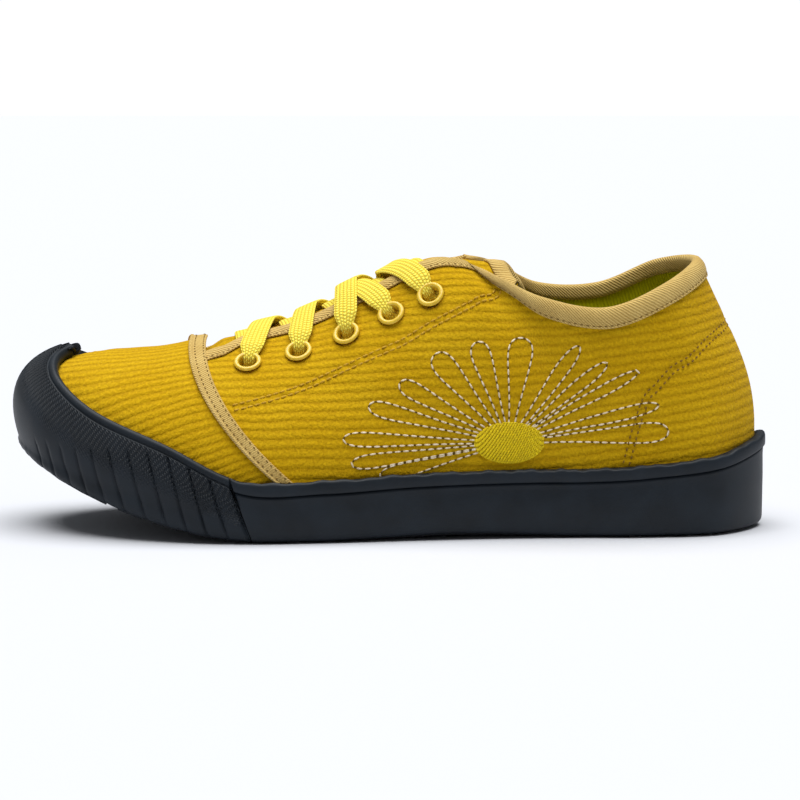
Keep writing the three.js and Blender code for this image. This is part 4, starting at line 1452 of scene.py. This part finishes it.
@dataclass(frozen=True)
class Tongue:
    """The corduroy tongue under the facings, bound with tape at its free end."""

    start: float = 2.9
    half: float = 27.0
    sink: float = 1.2
    wall_sink: float = 4.15
    beyond: float = 24.0
    fall: float = 0.1
    thickness: float = 2.5
    leg: float = 6.5

    def place(self, u: Array, side: Array, offset: Array) -> Array:
        """Points of the tongue.

        Args:
            u: Places along the instep, and past its last section.
            side: From -1 to 1 across.
            offset: Distance above the tongue's face.

        Returns:
            The points.
        """
        u, side, offset = (np.asarray(v, float) for v in np.broadcast_arrays(u, side, offset))
        rib = np.minimum(u, LAST.last_ridge)
        lateral = np.where(side <= 0, rib, mirrored(rib))
        middle = LAST.column("top_across", rib) * LAST.ball
        reach = np.maximum(np.abs(side) * self.half, 1e-3)
        low = np.full(u.shape, 0.3)
        t = halve(low, low + 0.7, lambda share: np.abs(LAST.rib(lateral, share)[..., 1] - middle) > reach)
        open_throat = smooth(rib, LAST.throat_closed, LAST.throat_closed + 0.4)
        crown = (1 - smooth(np.abs(side), 0.1, 0.42)) * open_throat
        deep = self.sink * crown + self.wall_sink * (1 - crown)
        point = LAST.skin(lateral, t, offset - deep)
        past = np.maximum(u - LAST.last_ridge, 0) * self.beyond
        return point + np.stack([past, np.zeros_like(past), -self.fall * past], -1)

    def width(self, u: Array) -> Array:
        """Share of the tongue's width that is left."""
        return np.where(u <= LAST.last_ridge, 1, np.sqrt(np.clip(1 - 0.7 * (u - LAST.last_ridge) ** 2, 0, 1)))

    def build(self, finishes: Finishes) -> list[bpy.types.Object]:
        """Makes the tongue and the tape round its end.

        Args:
            finishes: The shoe's finishes.

        Returns:
            The pieces.
        """
        u = np.concatenate([np.linspace(self.start, 7, 70), np.linspace(7.05, 8, 20)])[:, None]
        side = np.linspace(-1, 1, 41)[None, :] * self.width(u)
        faces = [self.place(u, side, np.full(side.shape, offset)) for offset in (0.0, -self.thickness)]
        points = ring(np.concatenate([faces[0], faces[1][:, ::-1]], axis=1))
        run = np.repeat(lengths(points[:, 20])[:, None], points.shape[1], axis=1)
        across = points[..., 1]
        bm = lofted("tongue", points, np.stack([run, across], -1), caps=True)
        tongue = finished("tongue_cloth", bm, [finishes["corduroy"]], ["tongue"])
        return [tongue, self.binding(finishes)]

    def binding(self, finishes: Finishes) -> bpy.types.Object:
        """The tape folded over the tongue's end."""
        end, leg = LAST.last_ridge + 1, self.leg / self.beyond
        side = np.linspace(-1, 1, 61)
        tip = float(self.width(np.array(end)))
        foot = float(self.width(np.array(end - leg)))
        profile = [(-1, 0.25, foot), (-0.97, 0.95, foot), (-0.5, 1.2, (tip + foot) / 2), (-0.08, 1.1, tip)]
        profile += [(0.06, 0.4, tip), (0.10, -self.thickness / 2, tip), (0.06, -self.thickness - 0.4, tip)]
        profile += [(-0.08, -self.thickness - 1.1, tip), (-0.97, -self.thickness - 0.95, foot)]
        profile += [(-1, -self.thickness - 0.25, foot), (-0.02, -self.thickness - 0.2, tip)]
        profile += [(-0.02, 0.2, tip)]
        stations = [
            self.place(np.full_like(side, end + share * leg), side * width, np.full_like(side, offset))
            for share, offset, width in profile
        ]
        points = ring(np.stack(stations, axis=1))
        run = np.repeat(lengths(points[:, 2])[:, None], points.shape[1], axis=1)
        across = np.repeat(np.linspace(0, 18, points.shape[1])[None, :], len(side), axis=0)
        bm = lofted("tongue binding", points, np.stack([run, across], -1), caps=True)
        return finished("binding_tongue", bm, [finishes["tape"]], ["tongue_binding"])


# The lacing


@dataclass(frozen=True)
class Eyelets:
    """Enamelled eyelets: a rolled ring on the outside, a barrel through the wall and a clinched back."""

    ring: float = 4.15
    bead: float = 0.9
    hole: float = 3.2
    clinch: float = 4.4

    def profile(self) -> list[Place]:
        """The eyelet's section as radius and height."""
        turns = np.radians(np.linspace(-80, 200, 13))
        head = [(self.ring + self.bead * math.cos(a), 0.95 + self.bead * 0.8 * math.sin(a)) for a in turns]
        barrel = [(self.hole, -0.6), (self.hole, -WALL - 0.3), (self.hole + 0.5, -WALL - 0.9)]
        back = [(self.clinch, -WALL - 0.75), (self.clinch, -WALL - 0.35), (self.hole + 0.35, -WALL - 0.35)]
        return [*head, *barrel, *back, (self.hole + 0.35, 0.15)]

    def build(self, finishes: Finishes) -> list[bpy.types.Object]:
        """Makes all the eyelets.

        Args:
            finishes: The shoe's finishes.

        Returns:
            The pieces.
        """
        pieces = []
        for number, near in enumerate(EYELET_PLACES, 1):
            for side, u in ((Side.OUTER, near), (Side.INNER, mirrored(near))):
                place = np.array(u)
                t = eyelet_share(place)
                bm = bmesh.new()
                verts = [bm.verts.new((r * MM, 0, h * MM)) for r, h in self.profile()]
                edges = [bm.edges.new((a, b)) for a, b in zip(verts, verts[1:] + verts[:1])]
                bmesh.ops.spin(
                    bm, geom=[*verts, *edges], cent=(0, 0, 0), axis=(0, 0, 1), angle=2 * math.pi, steps=36,
                    use_merge=True,
                )
                bmesh.ops.remove_doubles(bm, verts=bm.verts, dist=1e-6)
                turn = Vector((0, 0, 1)).rotation_difference(Vector(LAST.normal(place, t)))
                spot = Matrix.Translation(Vector(LAST.rib(place, t)) * MM)
                bmesh.ops.transform(bm, matrix=spot @ turn.to_matrix().to_4x4(), verts=bm.verts)
                bmesh.ops.recalc_face_normals(bm, faces=bm.faces)
                label = f"{side.value}_{number}"
                nodes = [f"eyelet_{label}"]
                pieces.append(finished(f"ring_{label}", bm, [finishes["enamel"]], nodes))
        return pieces


@dataclass(frozen=True)
class Lacing:
    """One flat lace: outside stretches from eyelet to eyelet, and straight bars behind the facings."""

    width: float = 9.0
    thickness: float = 1.3
    in_hole: float = 4.6
    above: float = 2.3
    over: float = 1.5
    outside: Sequence[tuple[int, int, float]] = (
        (0, 1, 0.0), (1, 2, 0.0), (2, 3, 1.0), (3, 2, 0.0), (4, 3, 0.0),
    )

    def ribbon(self, name: str, middle: Array, up: Array, widths: Array, finishes: Finishes,
               nodes: Sequence[str]) -> bpy.types.Object:
        """A stretch of lace along a line.

        Args:
            name: The piece's name.
            middle: Points along its middle.
            up: Directions that its face looks in.
            widths: Its width at each point.
            finishes: The shoe's finishes.
            nodes: The model's nodes that it replaces.

        Returns:
            The piece.
        """
        way = unit(np.gradient(middle, axis=0))
        wide = unit(np.cross(way, up))
        face = unit(np.cross(wide, way))
        angles = np.linspace(0, 2 * math.pi, 17)[:-1]
        x = np.sign(np.cos(angles)) * np.abs(np.cos(angles)) ** 0.45 * 0.5
        y = np.sign(np.sin(angles)) * np.abs(np.sin(angles)) ** 0.7 * 0.5
        squeeze = self.width / widths
        thick = self.thickness * np.clip(squeeze, 1, 1.6)
        points = middle[:, None] + wide[:, None] * (x[None, :, None] * widths[:, None, None])
        points = ring(points + face[:, None] * (y[None, :, None] * thick[:, None, None]))
        run = np.repeat(lengths(middle)[:, None], points.shape[1], axis=1)
        across = np.repeat(np.append(x, x[0])[None, :] * self.width, len(middle), axis=0)
        bm = lofted(name, points, np.stack([run, across], -1), caps=True)
        return finished(name, bm, [finishes["lace"]], nodes)

    def spots(self, near: float, far: float, lift: float) -> tuple[Array, Array]:
        """A stretch from an outer eyelet to an inner one.

        Args:
            near: The outer eyelet's place.
            far: The place opposite the inner eyelet.
            lift: 1 where the stretch lies on top of others, else 0.

        Returns:
            Points of its middle line, and the surface's normals there.
        """
        share = np.linspace(0, 1, 61)
        middle = (near + far) / 2
        outer = share <= 0.5
        run = np.where(outer, 2 * share, 2 - 2 * share)
        place = np.where(outer, near, far) * (1 - run) + middle * run
        u = np.where(outer, place, mirrored(place))
        ends = eyelet_share(np.array([near, mirrored(far)]))
        t = np.where(outer, ends[0], ends[1]) * (1 - run) + run
        height = self.above + lift * self.over * np.sin(np.pi * share)
        return LAST.skin(u, t, height), LAST.normal(u, t)

    def dive(self, line: Array, u: float, at_start: bool) -> tuple[Array, Array]:
        """The lace's way through an eyelet, from behind the facing to the line's end.

        Args:
            line: Points of the outside stretch.
            u: The eyelet's place round the shoe.
            at_start: Whether the eyelet is at the line's start.

        Returns:
            Points, and the directions that the lace's face looks in.
        """
        place = np.array(u)
        t = eyelet_share(place)
        centre, normal = LAST.rib(place, t), LAST.normal(place, t)
        end = 0 if at_start else -1
        way = unit(line[end + (6 if at_start else -6)] - line[end])
        path = [centre + normal * h + way * s for h, s in ((-4.4, 1.0), (-2.6, 1.5), (-0.8, 2.0), (0.8, 2.6))]
        return np.array(path), np.array([unit(normal * k - way) for k in (0.05, 0.2, 0.5, 1.2)])

    def build(self, finishes: Finishes) -> list[bpy.types.Object]:
        """Makes the lace's stretches.

        Args:
            finishes: The shoe's finishes.

        Returns:
            The pieces.
        """
        pieces = []
        for number, (near, far, lift) in enumerate(self.outside, 1):
            start, stop = EYELET_PLACES[near], EYELET_PLACES[far]
            line, normals = self.spots(start, stop, lift)
            line, normals = line[7:-7], normals[7:-7]
            first, first_up = self.dive(line, start, True)
            last, last_up = self.dive(line, float(mirrored(stop)), False)
            middle = np.concatenate([first, line, last[::-1]])
            up = np.concatenate([first_up, normals, last_up[::-1]])
            knots = lengths(middle)
            dense = np.linspace(0, knots[-1], 130)
            middle = np.stack([np.interp(dense, knots, middle[:, k]) for k in range(3)], -1)
            up = unit(np.stack([np.interp(dense, knots, up[:, k]) for k in range(3)], -1))
            for _ in range(6):
                middle[1:-1] = (middle[:-2] + 2 * middle[1:-1] + middle[2:]) / 4
            from_end = np.minimum(dense, knots[-1] - dense)
            widths = self.in_hole + (self.width - self.in_hole) * smooth(from_end, 4.0, 12.0)
            nodes = ["lace_front"] if number == 1 else ["lace_crossed"] if number == 2 else []
            pieces.append(self.ribbon(f"lace_stretch_{number}", middle, up, widths, finishes, nodes))
        return [*pieces, *self.make_bars(finishes)]

    def make_bars(self, finishes: Finishes) -> list[bpy.types.Object]:
        """The straight bars behind the facings, over the tongue."""
        pieces = []
        for number, near in enumerate(EYELET_PLACES, 1):
            share = np.linspace(-1, 1, 61)
            u = np.where(share <= 0, near, mirrored(near))
            low = eyelet_share(u)
            t = low + (1 - low) * (1 - np.abs(share))
            crown = 1 - smooth(np.abs(share), 0.25, 0.75)
            height = -0.3 * crown + (-WALL - 1.15) * (1 - crown)
            line, up = LAST.skin(u, t, height), LAST.normal(u, t)
            widths = np.full(len(share), self.width - 1.5)
            pieces.append(self.ribbon(f"lace_bar_{number}", line, up, widths, finishes, []))
        return pieces


# The embroidery


@dataclass(frozen=True)
class Petal:
    """One outlined petal: its tip from the flower's middle, its widest part, and how blunt its tip is."""

    reach: float
    rise: float
    width: float
    blunt: float = 9.0


PETALS = (
    Petal(-46.0, -11.5, 6.5),
    Petal(-56.0, -6.7, 6.0),
    Petal(-59.0, 2.0, 6.0),
    Petal(-50.0, 13.3, 6.6),
    Petal(-39.0, 21.2, 7.2),
    Petal(-26.5, 31.2, 9.6),
    Petal(-11.5, 35.6, 8.4),
    Petal(4.5, 37.0, 10.6),
    Petal(25.0, 34.0, 8.6, 2.2),
    Petal(34.8, 28.0, 7.0, 2.8),
    Petal(46.0, 25.0, 6.2, 2.8),
    Petal(53.4, 13.0, 6.6, 3.5),
    Petal(57.0, 3.6, 8.6),
)


@dataclass(frozen=True)
class Flower:
    """An outlined daisy on the outer quarter, with a satin-stitched middle."""

    x: float = 43.0
    z: float = 34.5
    half_wide: float = 12.6
    half_high: float = 7.6
    stitch: float = 2.3
    pitch: float = 3.0
    thread: float = 0.33
    strand: float = 0.5
    strand_length: float = 1.7

    def outline(self, petal: Petal) -> Array:
        """The petal's outline in the plane, from the flower's middle out and back."""
        tip = np.array([petal.reach, petal.rise])
        length = float(np.linalg.norm(tip))
        way = tip / length
        side = np.array([-way[1], way[0]])
        start = 1 / math.hypot(way[0] / self.half_wide, way[1] / self.half_high) - 0.8
        turn = np.linspace(0, 1, 90)
        share = np.sin(turn * math.pi)
        along = start + (length - start) * share**0.75
        ratio = (along - start) / (length - start)
        half = petal.width / 2 * (0.2 + 0.9 * ratio**1.3) * np.sqrt(np.clip(1 - ratio**petal.blunt, 0, 1))
        sign = np.where(turn < 0.5, -1, 1)
        return way[None, :] * along[:, None] + side[None, :] * (half * sign)[:, None]

    def on_cloth(self, flat: Array, skin: BVHTree, lift: float) -> Trace:
        """Lays points of the plane on the outer quarter, by sight from the side."""
        points, normals = [], []
        for x, z in flat:
            hit, normal, _, _ = skin.ray_cast(Vector((self.x + x, -90, self.z + z)) * MM, Vector((0, 1, 0)))
            if hit is not None and z + self.z > LAST.rim_height(np.array(5.0)) + 0.4:
                points.append(np.array(hit) / MM + np.array(normal) * lift)
                normals.append(np.array(normal))
        return Trace(np.array(points), np.array(normals))

    def build(self, upper: bpy.types.Object, finishes: Finishes) -> list[bpy.types.Object]:
        """Makes the embroidery.

        Args:
            upper: The upper, which the threads lie on.
            finishes: The shoe's finishes.

        Returns:
            The pieces.
        """
        bm = bmesh.new()
        bm.from_mesh(upper.data)
        skin = BVHTree.FromBMesh(bm)
        bm.free()
        lines = [self.on_cloth(self.outline(petal), skin, 0.2) for petal in PETALS]
        threads = Stitching("stitches_petals", self.pitch, self.stitch, self.thread, finishes["cream_thread"])
        # Painted shade: dark blobs in the spaces between the cream stitches stand for the stitch holes'
        # shadow.
        gap_shade = Stitching("needle_holes_petals", self.pitch, 0.9, 0.36, finishes["painted_hole_shade"], first=1.0)
        shifted = [Trace(line.points - line.normals * 0.05, line.normals) for line in lines]
        return [threads.build(lines), gap_shade.build(shifted), self.middle(skin, finishes)]

    def middle(self, skin: BVHTree, finishes: Finishes) -> bpy.types.Object:
        """The satin-stitched middle: short upright strands in offset rows."""
        strands = []
        for k, x in enumerate(np.arange(-self.half_wide + self.strand / 2, self.half_wide, self.strand)):
            high = self.half_high * math.sqrt(1 - (x / self.half_wide) ** 2)
            low = -high - (k % 2) * self.strand_length / 2
            for z in np.arange(low, high, self.strand_length):
                ends = max(z, -high), min(z + self.strand_length, high)
                strands.append((x, sum(ends) / 2, ends[1] - ends[0]))
        strands = [strand for strand in strands if strand[2] > self.strand]
        flat = np.array(strands)
        laid = self.on_cloth(flat[:, :2], skin, 0.0)
        bulge = np.clip(1 - (flat[:, 0] / self.half_wide) ** 2 - (flat[:, 1] / self.half_high) ** 2, 0, 1)
        bm = bmesh.new()
        for point, up, rise, length in zip(laid.points, laid.normals, bulge, flat[:, 2]):
            way = unit(np.array([0.1, 0, 1]) - up * up[2])
            side = unit(np.cross(up, way))
            turn = Matrix(np.stack([way, side, up], -1).tolist()).to_4x4()
            size = Matrix.Diagonal((length * 0.52 * MM, self.strand * 0.52 * MM, 0.42 * MM, 1))
            place = Matrix.Translation(Vector(point + up * (0.1 + 0.7 * rise**0.5)) * MM) @ turn @ size
            bmesh.ops.create_uvsphere(bm, u_segments=8, v_segments=6, radius=1.0, matrix=place @ POLE_ALONG_X)
        bmesh.ops.recalc_face_normals(bm, faces=bm.faces)
        return finished("flower_middle", bm, [finishes["satin_thread"]])


# The studio


@dataclass(frozen=True)
class Studio:
    """A white floor, soft light and the camera, at the photograph's angle."""

    aim: tuple[float, float, float] = (0.004, 0.0, 0.046)
    distance: float = 1.100
    elevation: float = 6.5
    lens: float = 134.64
    floor: float = 8.0
    overhead_power: float = 4.4
    overhead_spread: float = 60.0
    overhead_tilt: float = 0.0
    surround: float = 0.2

    def build(self) -> None:
        """Makes the floor, the lights, the world and the camera."""
        scene = bpy.context.scene
        scene.view_settings.view_transform = "Standard"
        camera = bpy.data.objects.new("camera", bpy.data.cameras.new("camera"))
        camera.data.lens, camera.data.sensor_width = self.lens, 36.0
        lift = math.radians(self.elevation)
        back = Vector((0.0, -math.cos(lift), math.sin(lift)))
        camera.location = Vector(self.aim) + back * self.distance
        camera.rotation_euler = (-back).to_track_quat("-Z", "Y").to_euler()
        scene.collection.objects.link(camera)
        scene.camera = camera
        bm = bmesh.new()
        bmesh.ops.create_grid(bm, x_segments=2, y_segments=2, size=self.floor)
        mesh = bpy.data.meshes.new("floor")
        bm.to_mesh(mesh)
        bm.free()
        floor = bpy.data.objects.new("floor", mesh)
        scene.collection.objects.link(floor)
        shader = Shader("white paper")
        mesh.materials.append(shader.dress(rgb("#CDCFD4"), Roughness=0.95, Specular_IOR_Level=0.0))
        self.overhead()
        self.world()

    def overhead(self) -> None:
        """Adds a wide soft light straight above, turned towards the camera's side by the tilt, which is 0
        here.
        """
        lamp = bpy.data.lights.new("overhead", "SUN")
        lamp.energy, lamp.angle = self.overhead_power, math.radians(self.overhead_spread)
        holder = bpy.data.objects.new("overhead", lamp)
        holder.rotation_euler = (math.radians(self.overhead_tilt), 0.0, 0.0)
        bpy.context.scene.collection.objects.link(holder)

    def world(self) -> None:
        """A white surround that lights the shoe more dimly than it looks."""
        world = bpy.data.worlds.new("surround")
        world.use_nodes = True
        bpy.context.scene.world = world
        tree = world.node_tree
        seen = tree.nodes.new("ShaderNodeLightPath")
        strength = tree.nodes.new("ShaderNodeMapRange")
        strength.inputs[3].default_value, strength.inputs[4].default_value = self.surround, 1.05
        tree.links.new(seen.outputs["Is Camera Ray"], strength.inputs[0])
        background = tree.nodes["Background"]
        background.inputs[0].default_value = rgb("#FAFCFF")
        tree.links.new(strength.outputs[0], background.inputs[1])


def main() -> None:
    """Builds the shoe's pieces in order, then the studio."""
    logging.basicConfig(level=logging.INFO, format="%(message)s")
    Studio().build()
    finishes = {name: finish.material() for name, finish in FINISHES.items()}
    sole = Sole()
    sole.dress_nodes(finishes)
    sole.sidewall(finishes)
    sole.guard(finishes)
    upper = Upper().build(finishes)
    Tape().build(finishes)
    Binding().build(finishes)
    Tongue().build(finishes)
    Eyelets().build(finishes)
    Lacing().build(finishes)
    Flower().build(upper[0], finishes)


if __name__ == "__main__":
    main()
